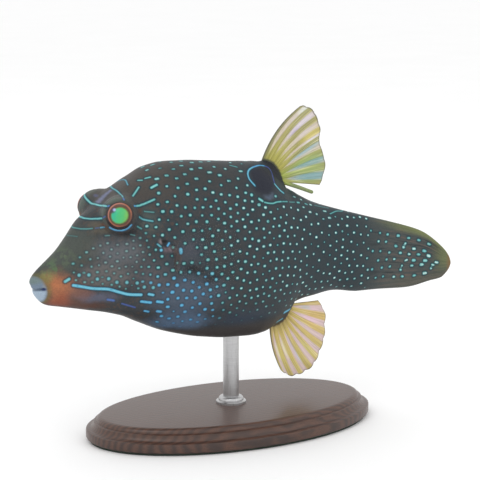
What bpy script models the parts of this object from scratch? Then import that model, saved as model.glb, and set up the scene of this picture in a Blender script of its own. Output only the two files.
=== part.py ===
"""Spotted pufferfish (Papuan toby) as a life-size still model on a plain display stand.

Metres, +Z up. The fish swims towards -X, its left side towards -Y, and the origin is
the middle of the model's box, on the underside of the stand. Shapes are drawn in
millimetres from the tip of the snout: x runs back along the fish, y to its right and z
up from the line of the mouth.
"""

import math

import bmesh
import bpy
from mathutils import Vector

MM = 0.001
GAP = 0.3  # clearance between neighbouring pieces, mm

# The fish's own lengths, mm
TOTAL_LENGTH = 90.0
HEAD_END = 22.2  # the gill opening
SNOUT_END = 9.0
LIP_DEPTH = 2.6
TRUNK_END = 54.6  # just behind the dorsal and anal fins
TAIL_FIN_START = 72.0
MOUTH_LINE = -1.0  # height of the slit between the lips

# The eyes: each orbit is a round bulge of skin, and the ball looks out and forward of it
ORBIT_CENTRE = Vector((15.4, 5.1, 11.65))
ORBIT_RADIUS = 3.5
ORBIT_DEPTH = 3.0  # the bulge fans out from a point this far behind its centre
ORBIT_BLEND = 0.8  # how softly it runs into the head
EYE_RADIUS = 2.8
EYE_OPENING_RADIUS = 2.4
GAZE_FORWARD = math.radians(28)
GAZE_UP = math.radians(10)

# The stand, mm
BASE_LENGTH = 58.0
BASE_WIDTH = 34.0
BASE_THICKNESS = 4.5
# The moulding round its edge, (height, inset): a foot, a cove, and a rounded shoulder
BASE_PROFILE = [
    (0.0, 0.6), (0.4, 0.6), (0.65, 0.12), (0.9, 0.0), (2.15, 0.0), (2.35, 0.5), (2.7, 1.2), (3.5, 1.5),
    (3.65, 2.0), (4.25, 2.35), (4.5, 3.2),
]
BASE_SIDES = 56
ROD_RADIUS = 1.5
ROD_X = 40.0  # under the fish's centre of mass
ROD_BITE = 4.0  # how deep the rod sits in the belly
ROD_IN_BASE = 2.6
FIN_CLEARANCE = 3.4  # from the tip of the anal fin down to the base

# Outlines of the whole fish from the side and from above, (x, height) and (x, half width)
BACK = [
    (0.0, 0.2), (0.35, 1.1), (1.0, 1.9), (2.8, 3.5), (5.1, 5.5), (7.4, 8.2),
    (9.3, 10.6), (12.6, 13.0), (15.0, 15.0), (17.2, 16.45), (19.4, 17.85), (22.6, 19.55), (25.6, 20.15),
    (29.0, 20.2), (39.0, 19.5), (45.6, 19.1), (47.6, 19.1), (48.9, 18.4), (50.2, 17.1), (50.9, 15.6),
    (51.3, 14.3), (52.0, 13.4), (53.0, 12.75), (55.9, 11.35), (61.1, 9.4),
    (68.4, 7.3), (75.4, 5.3), (82.6, 2.9), (87.2, -0.2), (90.0, -4.2),
]
BELLY = [
    (0.0, 0.2), (0.3, -0.7), (0.7, -1.4), (1.0, -2.2), (1.5, -3.0), (2.8, -4.0),
    (5.6, -4.65), (10.4, -5.65), (16.3, -7.0), (20.2, -8.8), (25.2, -10.95), (31.4, -12.7), (37.7, -13.65),
    (44.1, -13.95), (46.3, -13.7), (48.2, -12.95), (51.2, -12.1), (52.4, -11.0), (53.1, -10.0), (53.5, -9.0),
    (53.9, -8.4), (55.4, -7.95), (57.6, -7.6), (61.8, -7.1), (67.8, -7.85), (72.1, -7.9), (79.2, -8.15),
    (85.2, -7.3), (87.6, -7.0), (88.8, -6.3), (90.0, -4.2),
]
FLANK = [
    (0.0, 0.0), (0.35, 0.85), (1.0, 1.5), (2.8, 2.3), (6.0, 3.1), (10.0, 4.5),
    (14.0, 5.8), (19.0, 7.1), (25.0, 8.1), (33.0, 8.7), (41.0, 8.4), (48.0, 7.1),
    (56.0, 5.0), (64.0, 3.3), (72.0, 1.9), (77.0, 0.85), (82.0, 0.5), (90.0, 0.3),
]
# Where the section is widest, as a share of its height, and how square its corners are
WIDEST = [(0.0, 0.5), (10.0, 0.42), (20.0, 0.4), (35.0, 0.42), (60.0, 0.5), (90.0, 0.5)]
SQUARENESS = [
    (0.0, 2.0), (8.0, 2.2), (13.0, 2.5), (16.5, 3.0), (21.0, 2.4), (30.0, 2.1), (60.0, 2.1), (76.0, 2.8),
    (82.0, 3.6), (90.0, 3.6),
]

# Fins: the base runs along the back or the belly, and the margin joins the tips of the rays
DORSAL_BASE = (46.9, 48.8, 50.1, 50.8, 51.1)
DORSAL_MARGIN = [
    (55.1, 29.3), (56.7, 28.8), (58.3, 26.95), (59.25, 24.7), (59.0, 22.7), (59.6, 20.5), (60.3, 18.1),
    (60.5, 16.1), (59.45, 13.65),
]
DORSAL_RAYS = 9
DORSAL_BOW = 1.15
LAST_RAY_ROOT = (52.3, 14.05)
LAST_RAY_TIP = (57.7, 12.3)
ANAL_BASE = (48.6, 50.2, 51.7, 52.9, 53.6)
ANAL_MARGIN = [
    (51.0, -22.2), (53.2, -23.3), (55.1, -23.15), (56.9, -22.6), (58.5, -21.2), (59.7, -18.9), (60.6, -16.3),
    (60.85, -12.9), (59.3, -8.9),
]
ANAL_RAYS = 9
ANAL_BOW = -0.65
PECTORAL_BASE = [(24.2, 6.6), (24.9, 4.0), (24.6, 1.4)]
PECTORAL_MARGIN = [(31.2, 11.4), (33.9, 8.8), (35.2, 5.2), (34.6, 1.2), (32.4, -2.2), (29.4, -3.6)]
PECTORAL_RAYS = 14
PECTORAL_BOW = 0.4
PECTORAL_SPREAD = math.radians(24)  # how far the fin stands off the flank
FIN_SEAT = 0.55  # a fin's root stands this far off the skin
RAY_THICKNESS = 0.8
WEB_SHARE = 0.65  # the web's thickness as a share of a ray's

BODY_RINGS = 60
BODY_SIDES = 36
# How the rings share out the length, closest over the head: (share of the rings, x)
RINGS = [
    (0.0, 0.0), (0.09, 2.0), (0.17, 6.4), (0.38, 22.2), (0.57, 45.5), (0.72, 54.6), (0.88, 78.0), (1.0, 90.0),
]
FIN_ROWS = 5

HALF_LENGTH = TOTAL_LENGTH / 2
ANAL_TIP = min(z for _, z in ANAL_MARGIN)
MOUTH_HEIGHT = BASE_THICKNESS + FIN_CLEARANCE - ANAL_TIP


def placed(x, y, z):
    """A point of the fish, in millimetres from the snout's tip, as a place in the model."""
    return Vector((x - HALF_LENGTH, y, z + MOUTH_HEIGHT)) * MM


def smooth(points, at):
    """The height at one place of a smooth curve through (place, height) points, with no overshoot."""
    last = len(points) - 1
    at = min(max(at, points[0][0]), points[last][0])
    i = next(k for k in range(last) if at <= points[k + 1][0])
    slopes = [(b[1] - a[1]) / (b[0] - a[0]) for a, b in zip(points, points[1:])]

    def tangent(k):
        if k in (0, last):
            return slopes[0] if k == 0 else slopes[-1]
        before, after = slopes[k - 1], slopes[k]
        return 0.0 if before * after <= 0 else 2 * before * after / (before + after)

    (x0, y0), (x1, y1) = points[i], points[i + 1]
    run = x1 - x0
    t = (at - x0) / run
    return (
        y0 * (1 + 2 * t) * (1 - t) ** 2
        + tangent(i) * run * t * (1 - t) ** 2
        + y1 * t * t * (3 - 2 * t)
        + tangent(i + 1) * run * t * t * (t - 1)
    )


def turn(x):
    """The angle that runs from 0 at the snout to pi at the tail, so that both ends come out round."""
    return math.acos(1 - 2 * min(max(x / TOTAL_LENGTH, 0), 1))


def by_turn(outline):
    return [(turn(x), height) for x, height in outline]


BACK_CURVE, BELLY_CURVE, FLANK_CURVE = by_turn(BACK), by_turn(BELLY), by_turn(FLANK)
RING_TURNS = [(share, turn(x)) for share, x in RINGS]


def section_point(x, around):
    """A point of the fish's skin: x back from the snout, and an angle around, 0 right and pi/2 up."""
    at = turn(x)
    top, bottom, half_width = (smooth(c, at) for c in (BACK_CURVE, BELLY_CURVE, FLANK_CURVE))
    middle = bottom + (top - bottom) * smooth(WIDEST, x)
    power = 2 / smooth(SQUARENESS, x)
    side, lift = math.cos(around), math.sin(around)
    reach = (top if lift > 0 else bottom) - middle
    return Vector((
        x,
        half_width * math.copysign(abs(side) ** power, side),
        middle + reach * abs(lift) ** power,
    ))


def gaze(side):
    """The way that the left (-1) or right (1) eye looks."""
    return Vector((
        -math.sin(GAZE_FORWARD) * math.cos(GAZE_UP),
        side * math.cos(GAZE_FORWARD) * math.cos(GAZE_UP),
        math.sin(GAZE_UP),
    ))


def orbit_centre(side):
    return Vector((ORBIT_CENTRE.x, side * ORBIT_CENTRE.y, ORBIT_CENTRE.z))


def with_orbits(point):
    """Pushes the skin out over the two round orbits, blending where they meet the head."""
    for side in (-1, 1):
        out = gaze(side) * ORBIT_DEPTH
        root = orbit_centre(side) - out
        away = point - root
        distance = away.length
        if distance > 4 * ORBIT_RADIUS:
            continue
        along = away.dot(out) / distance
        reach = along + math.sqrt(ORBIT_RADIUS**2 - ORBIT_DEPTH**2 + along**2)
        lift = math.log(math.exp(distance / ORBIT_BLEND) + math.exp(reach / ORBIT_BLEND))
        point = root + away * (lift * ORBIT_BLEND / distance)
    return point


def new_object(name, shape, material):
    obj = bpy.data.objects.new(name, shape)
    parts.objects.link(obj)
    shape.materials.append(material)
    return obj


def finished_mesh(name, bm):
    mesh = bpy.data.meshes.new(name)
    bmesh.ops.recalc_face_normals(bm, faces=bm.faces)
    bm.to_mesh(mesh)
    bm.free()
    return mesh


def painted(name, colour, roughness, metallic=0.0):
    material = bpy.data.materials.new(name)
    material.use_nodes = True
    shader = material.node_tree.nodes["Principled BSDF"]
    shader.inputs["Base Color"].default_value = (*colour, 1)
    shader.inputs["Roughness"].default_value = roughness
    shader.inputs["Metallic"].default_value = metallic
    return material


def whole_body():
    """The fish from snout to tail fin as one closed mesh: a ball drawn out along the body's outlines."""
    bm = bmesh.new()
    bmesh.ops.create_uvsphere(bm, u_segments=BODY_SIDES, v_segments=BODY_RINGS, radius=1)
    for vertex in bm.verts:
        # the ball's poles lie on Z, which becomes the fish's length
        ring = math.acos(max(-1, min(1, vertex.co.z))) / math.pi
        x = TOTAL_LENGTH * (1 - math.cos(smooth(RING_TURNS, ring))) / 2
        around = math.atan2(vertex.co.y, vertex.co.x)
        vertex.co = placed(*with_orbits(section_point(x, around)))
    return bm


def cut_away(bm, point, normal):
    """Removes what lies on the normal's side of a plane and closes the cut with a flat face."""
    geometry = bm.verts[:] + bm.edges[:] + bm.faces[:]
    bmesh.ops.bisect_plane(bm, geom=geometry, plane_co=point, plane_no=normal, clear_outer=True)
    open_edges = [e for e in bm.edges if e.is_boundary]
    bmesh.ops.holes_fill(bm, edges=open_edges)


def body_length(name, front, back, material):
    """One length of the fish between two cross cuts, each set back by half a gap."""
    bm = whole_body()
    if front > 0:
        cut_away(bm, placed(front + GAP / 2, 0, 0), (-1, 0, 0))
    if back < TOTAL_LENGTH:
        cut_away(bm, placed(back - GAP / 2, 0, 0), (1, 0, 0))
    return new_object(name, finished_mesh(name, bm), material)


def lip(name, side, material):
    """The upper (side 1) or lower (side -1) lip, with the slit of the mouth under or over it."""
    bm = whole_body()
    cut_away(bm, placed(LIP_DEPTH - GAP / 2, 0, 0), (1, 0, 0))
    cut_away(bm, placed(0, 0, MOUTH_LINE + side * GAP / 2), (0, 0, -side))
    return new_object(name, finished_mesh(name, bm), material)


def cutter(name, bm, *cut_objects):
    """A hidden shape that the named pieces are cut with."""
    obj = bpy.data.objects.new(name, finished_mesh(name, bm))
    cutters.objects.link(obj)
    obj.hide_render = True
    obj.display_type = "WIRE"
    for target in cut_objects:
        modifier = target.modifiers.new("cut " + name, "BOOLEAN")
        modifier.operation = "DIFFERENCE"
        modifier.object = obj


def ball(centre, radius, segments, rings):
    bm = bmesh.new()
    bmesh.ops.create_uvsphere(bm, u_segments=segments, v_segments=rings, radius=radius * MM)
    bmesh.ops.translate(bm, verts=bm.verts, vec=placed(*centre))
    return bm


def eye_centre(side):
    """The ball's middle: out from the orbit's middle, until the ball shows a disc of the right size."""
    to_rim = math.sqrt(ORBIT_RADIUS**2 - EYE_OPENING_RADIUS**2)
    ball_to_rim = math.sqrt(EYE_RADIUS**2 - EYE_OPENING_RADIUS**2)
    return orbit_centre(side) + gaze(side) * (to_rim - ball_to_rim)


def eye(name, side, head, material):
    """An eyeball in a socket that clears it by one gap."""
    centre = eye_centre(side)
    mesh = finished_mesh(name, ball(centre, EYE_RADIUS, 18, 12))
    mesh.shade_smooth()
    new_object(name, mesh, material)
    cutter("socket_" + name, ball(centre, EYE_RADIUS + GAP, 20, 14), head)


def along(points, share):
    """A point a share of the way along a smooth line through (x, z) points."""
    last = len(points) - 1
    steps = [(k / last, p) for k, p in enumerate(points)]
    return Vector([smooth([(k, p[axis]) for k, p in steps], share) for axis in (0, 1)])


def off_outline(curve, x, side):
    """The place (x, z) that stands a fin's seat off the back (side 1) or the belly (side -1)."""
    step = 0.1
    height = smooth(curve, turn(x))
    rise = smooth(curve, turn(x + step)) - height
    outward = Vector((-rise, step)).normalized() * side
    return (x + outward.x * FIN_SEAT, height + outward.y * FIN_SEAT)


def base_line(curve, base, side):
    """Places along a median fin's root, from front to rear."""
    return [off_outline(curve, x, side) for x in base]


def fin_grid(base, margin, rays, bow):
    """A fan with a ray at each edge, as rows of (x, z, thickness share) with a column for each ray and web."""
    columns = 2 * (rays - 1)
    rows = []
    for j in range(FIN_ROWS + 1):
        out = j / FIN_ROWS
        row = []
        for i in range(columns + 1):
            across = i / columns
            root, tip = along(base, across), along(margin, across)
            web = i % 2 == 1
            tip = root + (tip - root) * (0.975 if web else 1.0)
            lean = Vector((-(tip - root).y, (tip - root).x)).normalized()
            bend = bow * 4 * out * (1 - out) * (1 - across)
            point = root + (tip - root) * out + lean * bend
            row.append((point.x, point.y, WEB_SHARE if web else 1.0))
        rows.append(row)
    return rows


def fin(name, rows, sideways, material):
    """A thin solid fin from a grid of places. sideways gives y for each (x, z)."""
    bm = bmesh.new()
    bmesh.ops.create_grid(bm, x_segments=len(rows[0]) - 1, y_segments=len(rows) - 1, size=1)
    across, out = len(rows[0]) - 1, len(rows) - 1
    thickness = {}
    for vertex in bm.verts:
        i = round((vertex.co.x + 1) / 2 * across)
        j = round((vertex.co.y + 1) / 2 * out)
        x, z, share = rows[j][i]
        vertex.co = placed(x, sideways(x, z), z)
        thickness[vertex.index] = share
    mesh = bpy.data.meshes.new(name)
    bm.to_mesh(mesh)
    bm.free()
    obj = new_object(name, mesh, material)
    group = obj.vertex_groups.new(name="thickness")
    for index, share in thickness.items():
        group.add([index], share, "REPLACE")
    solidify = obj.modifiers.new("thickness", "SOLIDIFY")
    solidify.thickness = RAY_THICKNESS * MM
    solidify.offset = 0
    solidify.vertex_group = "thickness"
    return obj


def median_fin(name, rows, material):
    return fin(name, rows, lambda x, z: 0.0, material)


def last_ray(name, material):
    """The dorsal fin's hindmost ray, which stands free of the web: a tapering rod."""
    start, end = Vector(LAST_RAY_ROOT), Vector(LAST_RAY_TIP)
    curve = bpy.data.curves.new(name, "CURVE")
    curve.dimensions = "3D"
    curve.bevel_depth = 0.28 * MM
    curve.bevel_resolution = 2
    curve.use_fill_caps = True
    spline = curve.splines.new("POLY")
    spline.points.add(3)
    for k, point in enumerate(spline.points):
        at = start.lerp(end, k / 3)
        point.co = (*placed(at.x, 0, at.y), 1)
        point.radius = 1.3 - 0.25 * k
    new_object(name, curve, material)


def pectoral_fin(name, side, material):
    """A side fin that springs from the flank just behind the gill opening."""
    hinge = PECTORAL_BASE[0][0]
    stand_off = 0.85

    def sideways(x, z):
        skin = smooth(FLANK_CURVE, turn(hinge + 0.5))
        return side * (skin + stand_off + (x - hinge) * math.tan(PECTORAL_SPREAD))

    rows = fin_grid(PECTORAL_BASE, PECTORAL_MARGIN, PECTORAL_RAYS, PECTORAL_BOW)
    return fin(name, rows, sideways, material)


def upright(centre_x, bottom, top, radius, segments):
    """A round upright shape, from a cylinder, with its height measured up from the floor."""
    bm = bmesh.new()
    bmesh.ops.create_cone(
        bm, cap_ends=True, segments=segments, radius1=radius * MM, radius2=radius * MM,
        depth=(top - bottom) * MM,
    )
    middle = Vector((centre_x - HALF_LENGTH, 0, (bottom + top) / 2)) * MM
    bmesh.ops.translate(bm, verts=bm.verts, vec=middle)
    return bm


def stand_base(material):
    """An oval board with a moulded edge and a bored seat for the rod."""
    name = "stand_base"
    bm = bmesh.new()
    rings = []
    for height, inset in BASE_PROFILE:
        ring = []
        for k in range(BASE_SIDES):
            angle = 2 * math.pi * k / BASE_SIDES
            x = ROD_X - HALF_LENGTH + (BASE_LENGTH / 2 - inset) * math.cos(angle)
            y = (BASE_WIDTH / 2 - inset) * math.sin(angle)
            ring.append(bm.verts.new(Vector((x, y, height)) * MM))
        rings.append(ring)
    for lower, upper in zip(rings, rings[1:]):
        for k in range(BASE_SIDES):
            after = (k + 1) % BASE_SIDES
            bm.faces.new((lower[k], lower[after], upper[after], upper[k]))
    bm.faces.new(rings[0])
    bm.faces.new(rings[-1])
    board = new_object(name, finished_mesh(name, bm), material)
    seat_floor = BASE_THICKNESS - ROD_IN_BASE - GAP
    seat = upright(ROD_X, seat_floor, BASE_THICKNESS + 1, ROD_RADIUS + GAP, 20)
    cutter("rod_seat", seat, board)
    return board


def stand_rod(trunk, material):
    """A short straight rod from the seat in the base up into the belly."""
    name = "stand_rod"
    belly = smooth(BELLY_CURVE, turn(ROD_X)) + MOUTH_HEIGHT
    top = belly + ROD_BITE
    bm = upright(ROD_X, BASE_THICKNESS - ROD_IN_BASE, top, ROD_RADIUS, 20)
    rod = new_object(name, finished_mesh(name, bm), material)
    socket = upright(ROD_X, belly - 3, top + GAP, ROD_RADIUS + GAP, 20)
    cutter("rod_socket", socket, trunk)
    return rod


def build():
    skin = painted("spotted skin", (0.09, 0.08, 0.078), 0.45)
    lips = painted("pale lips", (0.42, 0.5, 0.62), 0.4)
    eyes = painted("green eye", (0.12, 0.55, 0.36), 0.08)
    webs = painted("yellow fin", (0.62, 0.6, 0.3), 0.4)
    clear = painted("clear fin", (0.55, 0.58, 0.55), 0.35)
    board = painted("dark board", (0.05, 0.035, 0.027), 0.45)
    steel = painted("steel rod", (0.6, 0.6, 0.6), 0.3, 1.0)

    lip("lip_upper", 1, lips)
    lip("lip_lower", -1, lips)
    body_length("snout", LIP_DEPTH, SNOUT_END, skin)
    head = body_length("head", SNOUT_END, HEAD_END, skin)
    trunk = body_length("trunk", HEAD_END, TRUNK_END, skin)
    body_length("tail_stem", TRUNK_END, TAIL_FIN_START, skin)
    body_length("tail_fin", TAIL_FIN_START, TOTAL_LENGTH, skin)

    eye("eye_left", -1, head, eyes)
    eye("eye_right", 1, head, eyes)
    dorsal_base = base_line(BACK_CURVE, DORSAL_BASE, 1)
    median_fin("dorsal_fin", fin_grid(dorsal_base, DORSAL_MARGIN, DORSAL_RAYS, DORSAL_BOW), webs)
    last_ray("dorsal_last_ray", webs)
    anal_base = base_line(BELLY_CURVE, ANAL_BASE, -1)
    median_fin("anal_fin", fin_grid(anal_base, ANAL_MARGIN, ANAL_RAYS, ANAL_BOW), webs)
    pectoral_fin("pectoral_fin_left", -1, clear)
    pectoral_fin("pectoral_fin_right", 1, clear)

    stand_base(board)
    stand_rod(trunk, steel)


for old in list(bpy.data.objects):
    bpy.data.objects.remove(old)
parts = bpy.data.collections.new("spotted_pufferfish")
cutters = bpy.data.collections.new("cutters")
for collection in (parts, cutters):
    bpy.context.scene.collection.children.link(collection)
build()
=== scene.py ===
"""The finished look of a spotted pufferfish, most likely a Papuan toby, on a plain display stand.

The fish swims towards -X with its left side towards -Y. Its shapes are drawn in
millimetres from the tip of the snout: x back along the fish, y to its right, and z up
from the line of the mouth. Everything else is in metres, in the frame's own place.
"""

import math

import bpy
import numpy as np
from mathutils import Matrix, Vector
from mathutils.bvhtree import BVHTree
from mathutils.kdtree import KDTree


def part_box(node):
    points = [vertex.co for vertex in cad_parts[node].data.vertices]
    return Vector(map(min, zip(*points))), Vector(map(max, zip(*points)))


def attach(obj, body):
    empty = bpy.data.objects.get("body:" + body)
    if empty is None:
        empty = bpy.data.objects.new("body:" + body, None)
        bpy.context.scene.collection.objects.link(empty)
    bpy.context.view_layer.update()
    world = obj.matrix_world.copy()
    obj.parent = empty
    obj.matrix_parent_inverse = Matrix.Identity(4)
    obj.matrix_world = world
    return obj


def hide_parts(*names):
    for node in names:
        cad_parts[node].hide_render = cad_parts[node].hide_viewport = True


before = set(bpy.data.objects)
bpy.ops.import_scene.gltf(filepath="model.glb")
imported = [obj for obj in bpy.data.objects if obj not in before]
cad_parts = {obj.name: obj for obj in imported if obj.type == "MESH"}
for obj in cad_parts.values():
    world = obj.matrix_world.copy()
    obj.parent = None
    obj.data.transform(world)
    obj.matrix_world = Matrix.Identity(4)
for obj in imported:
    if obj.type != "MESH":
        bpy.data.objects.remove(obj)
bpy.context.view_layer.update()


# ---- The body -------------------------------------------------------------------------
# A toby's hide is one scaleless sheet from the lips to the end of the tail fin. It is
# drawn over the body's own outlines, bulges over the two orbits, is parted by the mouth
# and the gill openings, and runs out over the rays of the folded tail fin.

MM = 0.001
snout_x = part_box("lip_upper")[0].x
body_length = (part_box("tail_fin")[1].x - snout_x) / MM
slit_height = (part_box("lip_upper")[0].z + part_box("lip_lower")[1].z) / 2
SLIT_DROP = 1.0  # the mouth's slit lies this far under the height that z counts from
mouth_height = slit_height + SLIT_DROP * MM

# Outlines from the side and from above, (x, height) and (x, half width)
BACK = [
    (0, 0.2), (0.35, 1.1), (1, 1.9), (2.8, 3.5), (5.1, 5.5), (7.4, 8.2),
    (9.3, 10.6), (12.6, 13), (15, 15), (17.2, 16.45), (19.4, 17.85), (22.6, 19.55), (25.6, 20.15),
    (29, 20.2), (39, 19.5), (44, 19.1), (46.5, 18.2), (48.9, 16.2), (51, 14), (52, 13.5), (53, 12.95),
    (54.1, 12.3), (57, 10.85), (61.1, 9.4),
    (68.4, 7.3), (75.4, 5.3), (82.6, 2.9), (87.2, -0.2), (90, -4.2),
]
BELLY = [
    (0, 0.2), (0.3, -0.7), (0.7, -1.4), (1, -2.2), (1.5, -3), (2.8, -4),
    (5.6, -4.65), (10.4, -5.65), (16.3, -7), (20.2, -8.8), (25.2, -10.95), (31.4, -12.7), (37.7, -13.65),
    (44.1, -13.95), (46.3, -13.35), (49, -11.6), (52, -9), (52.55, -8.65), (55.4, -7.95),
    (57.6, -7.6), (61.8, -7.1), (67.8, -7.85), (72.1, -7.9), (79.2, -8.15), (85.2, -7.3), (87.6, -7),
    (88.8, -6.3), (90, -4.2),
]
# The fleshy lobe on the back that carries the dorsal fin, (x, rise)
LOBE = [(43.5, 0), (45.6, 0.45), (47.6, 1.6), (48.9, 2.15), (50, 2.1), (50.6, 1.4), (50.95, 0.4), (51.2, 0)]
LOBE_WIDTH = 1.5
# and the low keel under the body that carries the anal fin, (x, drop)
KEEL = [
    (44.5, 0), (46.3, 0.35), (48.2, 0.8), (49.6, 1.45), (51.1, 2.3),
    (51.75, 2), (52.05, 1.23), (52.25, 0.37), (52.4, 0),
]
KEEL_WIDTH = 2.6
FLANK = [
    (0, 0), (0.35, 0.85), (1, 1.5), (2.8, 2.3), (6, 3.1), (10, 4.5),
    (14, 5.8), (19, 7.1), (25, 8.1), (33, 8.7), (41, 8.4), (48, 7.1),
    (56, 5), (64, 3.3), (72, 1.9), (77, 0.85), (82, 0.5), (90, 0.3),
]
WIDEST = [(0, 0.5), (10, 0.42), (20, 0.4), (35, 0.42), (60, 0.5), (90, 0.5)]
SQUARENESS = [
    (0, 2), (8, 2.2), (13, 2.5), (16.5, 3), (21, 2.4),
    (30, 2.1), (60, 2.1), (76, 2.8), (82, 3.6), (90, 3.6),
]
# The rings that the skin is drawn on lie closest over the mouth and the head
RINGS = [(0, 0), (0.085, 1), (0.18, 6), (0.42, 21), (0.72, 54), (0.86, 72), (1, 90)]
SKIN_RINGS, SKIN_SIDES = ((380, 248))


def smooth(points, at):
    """Heights of a smooth curve through (place, height) points, with no overshoot."""
    places, heights = np.array(points, float).T
    at = np.clip(at, places[0], places[-1])
    i = np.clip(np.searchsorted(places, at, side="right") - 1, 0, len(places) - 2)
    slopes = np.diff(heights) / np.diff(places)
    before, after = slopes[:-1], slopes[1:]
    same_way = before * after > 0
    mean = 2 * before * after / np.where(same_way, before + after, 1)
    tangents = np.concatenate([slopes[:1], np.where(same_way, mean, 0), slopes[-1:]])
    run = np.diff(places)[i]
    t = (at - places[i]) / run
    return (
        heights[i] * (1 + 2 * t) * (1 - t) ** 2
        + tangents[i] * run * t * (1 - t) ** 2
        + heights[i + 1] * t * t * (3 - 2 * t)
        + tangents[i + 1] * run * t * t * (t - 1)
    )


def turn(x):
    """The angle that runs from 0 at the snout to pi at the tail, so that both ends come out round."""
    return np.arccos(1 - 2 * np.clip(np.asarray(x, float) / body_length, 0, 1))


def by_turn(outline):
    return [(float(turn(x)), height) for x, height in outline]


def ramp(value, low, high):
    """0 below low, 1 above high, and an S between them."""
    t = np.clip((value - low) / (high - low), 0, 1)
    return t * t * (3 - 2 * t)


def bell(distance, width):
    return np.exp(-((distance / width) ** 2))


def placed(points):
    """Points of the fish, in its own millimetres, as places in the model."""
    return np.asarray(points) * MM + np.array([snout_x, 0, mouth_height])


def section_points(x, around):
    """Points of the body's plain form: x back from the snout, and an angle around it, 0 right and pi/2 up."""
    at = turn(x)
    top, bottom, half_width = (smooth(by_turn(c), at) for c in (BACK, BELLY, FLANK))
    middle = bottom + (top - bottom) * smooth(WIDEST, x)
    power = 2 / smooth(SQUARENESS, x)
    side, lift = np.cos(around), np.sin(around)
    reach = np.where(lift > 0, top, bottom) - middle
    y = half_width * np.sign(side) * np.abs(side) ** power
    rise = smooth(LOBE, x) * bell(y, LOBE_WIDTH) * ramp(lift, 0, 0.6)
    drop = smooth(KEEL, x) * bell(y, KEEL_WIDTH) * ramp(-lift, 0, 0.6)
    return np.stack([x, y, middle + reach * np.abs(lift) ** power + rise - drop], axis=-1)


# Eyes and orbits: the ball looks out, forward and a little up from the top of its orbit
ORBIT_CENTRE = np.array([15.4, 5.1, 11.65])
ORBIT_RADIUS = 3.5
ORBIT_DEPTH = 3.0
ORBIT_BLEND = 0.8
EYE_RADIUS = 2.8
EYE_OPENING_RADIUS = 2.4
GAZE_FORWARD, GAZE_UP = math.radians(28), math.radians(10)
gaze = np.array([
    -math.sin(GAZE_FORWARD) * math.cos(GAZE_UP),
    math.cos(GAZE_FORWARD) * math.cos(GAZE_UP),
    math.sin(GAZE_UP),
])
orbit_height = math.sqrt(ORBIT_RADIUS**2 - EYE_OPENING_RADIUS**2)
eye_height = math.sqrt(EYE_RADIUS**2 - EYE_OPENING_RADIUS**2)
eye_centre = ORBIT_CENTRE + gaze * (orbit_height - eye_height)
opening_angle = math.asin(EYE_OPENING_RADIUS / EYE_RADIUS)


def with_orbits(points):
    """The skin pushed out over both orbits and tucked in under the rims of the eyes."""
    for side in (-1, 1):
        mirror = np.array([1, side, 1])
        root = (ORBIT_CENTRE - gaze * ORBIT_DEPTH) * mirror
        away = points - root
        distance = np.linalg.norm(away, axis=1)
        along = away @ (gaze * mirror) * ORBIT_DEPTH / distance
        reach = along + np.sqrt(ORBIT_RADIUS**2 - ORBIT_DEPTH**2 + along**2)
        lifted = ORBIT_BLEND * np.logaddexp(distance / ORBIT_BLEND, reach / ORBIT_BLEND)
        near = ramp(distance, 4.2 * ORBIT_RADIUS, 3.2 * ORBIT_RADIUS)
        points = points + away * (near * (lifted / distance - 1))[:, None]

        # the lid: a low roll round the ball's rim, and a tuck behind the ball inside it
        centre = eye_centre * mirror
        away = points - centre
        distance = np.linalg.norm(away, axis=1)
        off_axis = np.arccos(np.clip(away @ (gaze * mirror) / distance, -1, 1))
        roll = 0.05 * bell(off_axis - opening_angle - 0.16, 0.2)
        inside = ramp(off_axis, opening_angle + 0.05, opening_angle - 0.16)
        wanted = np.minimum(distance + roll, EYE_RADIUS + 0.45) * (1 - inside) + (EYE_RADIUS - 0.6) * inside
        close = (distance < ORBIT_RADIUS + 1.5) & (away @ (gaze * mirror) > -0.5)
        share = np.where(close, ramp(off_axis, opening_angle + 0.8, opening_angle + 0.1), 0)
        points = points + away * (share * (wanted / distance - 1))[:, None]
    return points


def new_ball(name, segments, rings):
    """A ball to be drawn out into a piece, and its points at a radius of 1."""
    bpy.ops.object.select_all(action="DESELECT")
    bpy.ops.mesh.primitive_uv_sphere_add(segments=segments, ring_count=rings, radius=1)
    bpy.context.object.name = name
    return bpy.context.object, np.array([v.co for v in bpy.context.object.data.vertices])


def shape(piece, points):
    """Moves the points of a piece to these places on the fish."""
    piece.data.vertices.foreach_set("co", placed(points).astype(np.float32).ravel())
    piece.data.update()


def face_outwards():
    """Turns the newest piece's faces outwards and shades it smooth."""
    bpy.ops.object.mode_set(mode="EDIT")
    bpy.ops.mesh.select_all(action="SELECT")
    bpy.ops.mesh.normals_make_consistent(inside=False)
    bpy.ops.object.mode_set(mode="OBJECT")
    bpy.ops.object.shade_smooth()


skin, ball = new_ball("skin", SKIN_SIDES, SKIN_RINGS)
ring_share = np.arccos(np.clip(ball[:, 2], -1, 1)) / math.pi
around = np.arctan2(ball[:, 1], ball[:, 0])
around -= 0.12 * np.sin(2 * around)  # closer rows of points along the flanks
skin_x = body_length * (1 - np.cos(smooth([(s, float(turn(x))) for s, x in RINGS], ring_share))) / 2
skin_points = with_orbits(section_points(skin_x, around))
shape(skin, skin_points)
face_outwards()

# The ball's faces come in another order each time it is made, so they are put in one that never changes
faces = [list(face.vertices) for face in skin.data.polygons]
faces = sorted(face[face.index(min(face)):] + face[:face.index(min(face))] for face in faces)
quads = np.array([face + face[-1:] * (4 - len(face)) for face in faces])
quad_corners = skin_points[quads]
quad_ways = np.cross(quad_corners[:, 2] - quad_corners[:, 0], quad_corners[:, 3] - quad_corners[:, 1])
normals = np.zeros_like(skin_points)
np.add.at(normals, quads, quad_ways[:, None])
normals /= np.linalg.norm(normals, axis=1)[:, None]

x, y, z = skin_points.T
beside = np.abs(y)

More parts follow.
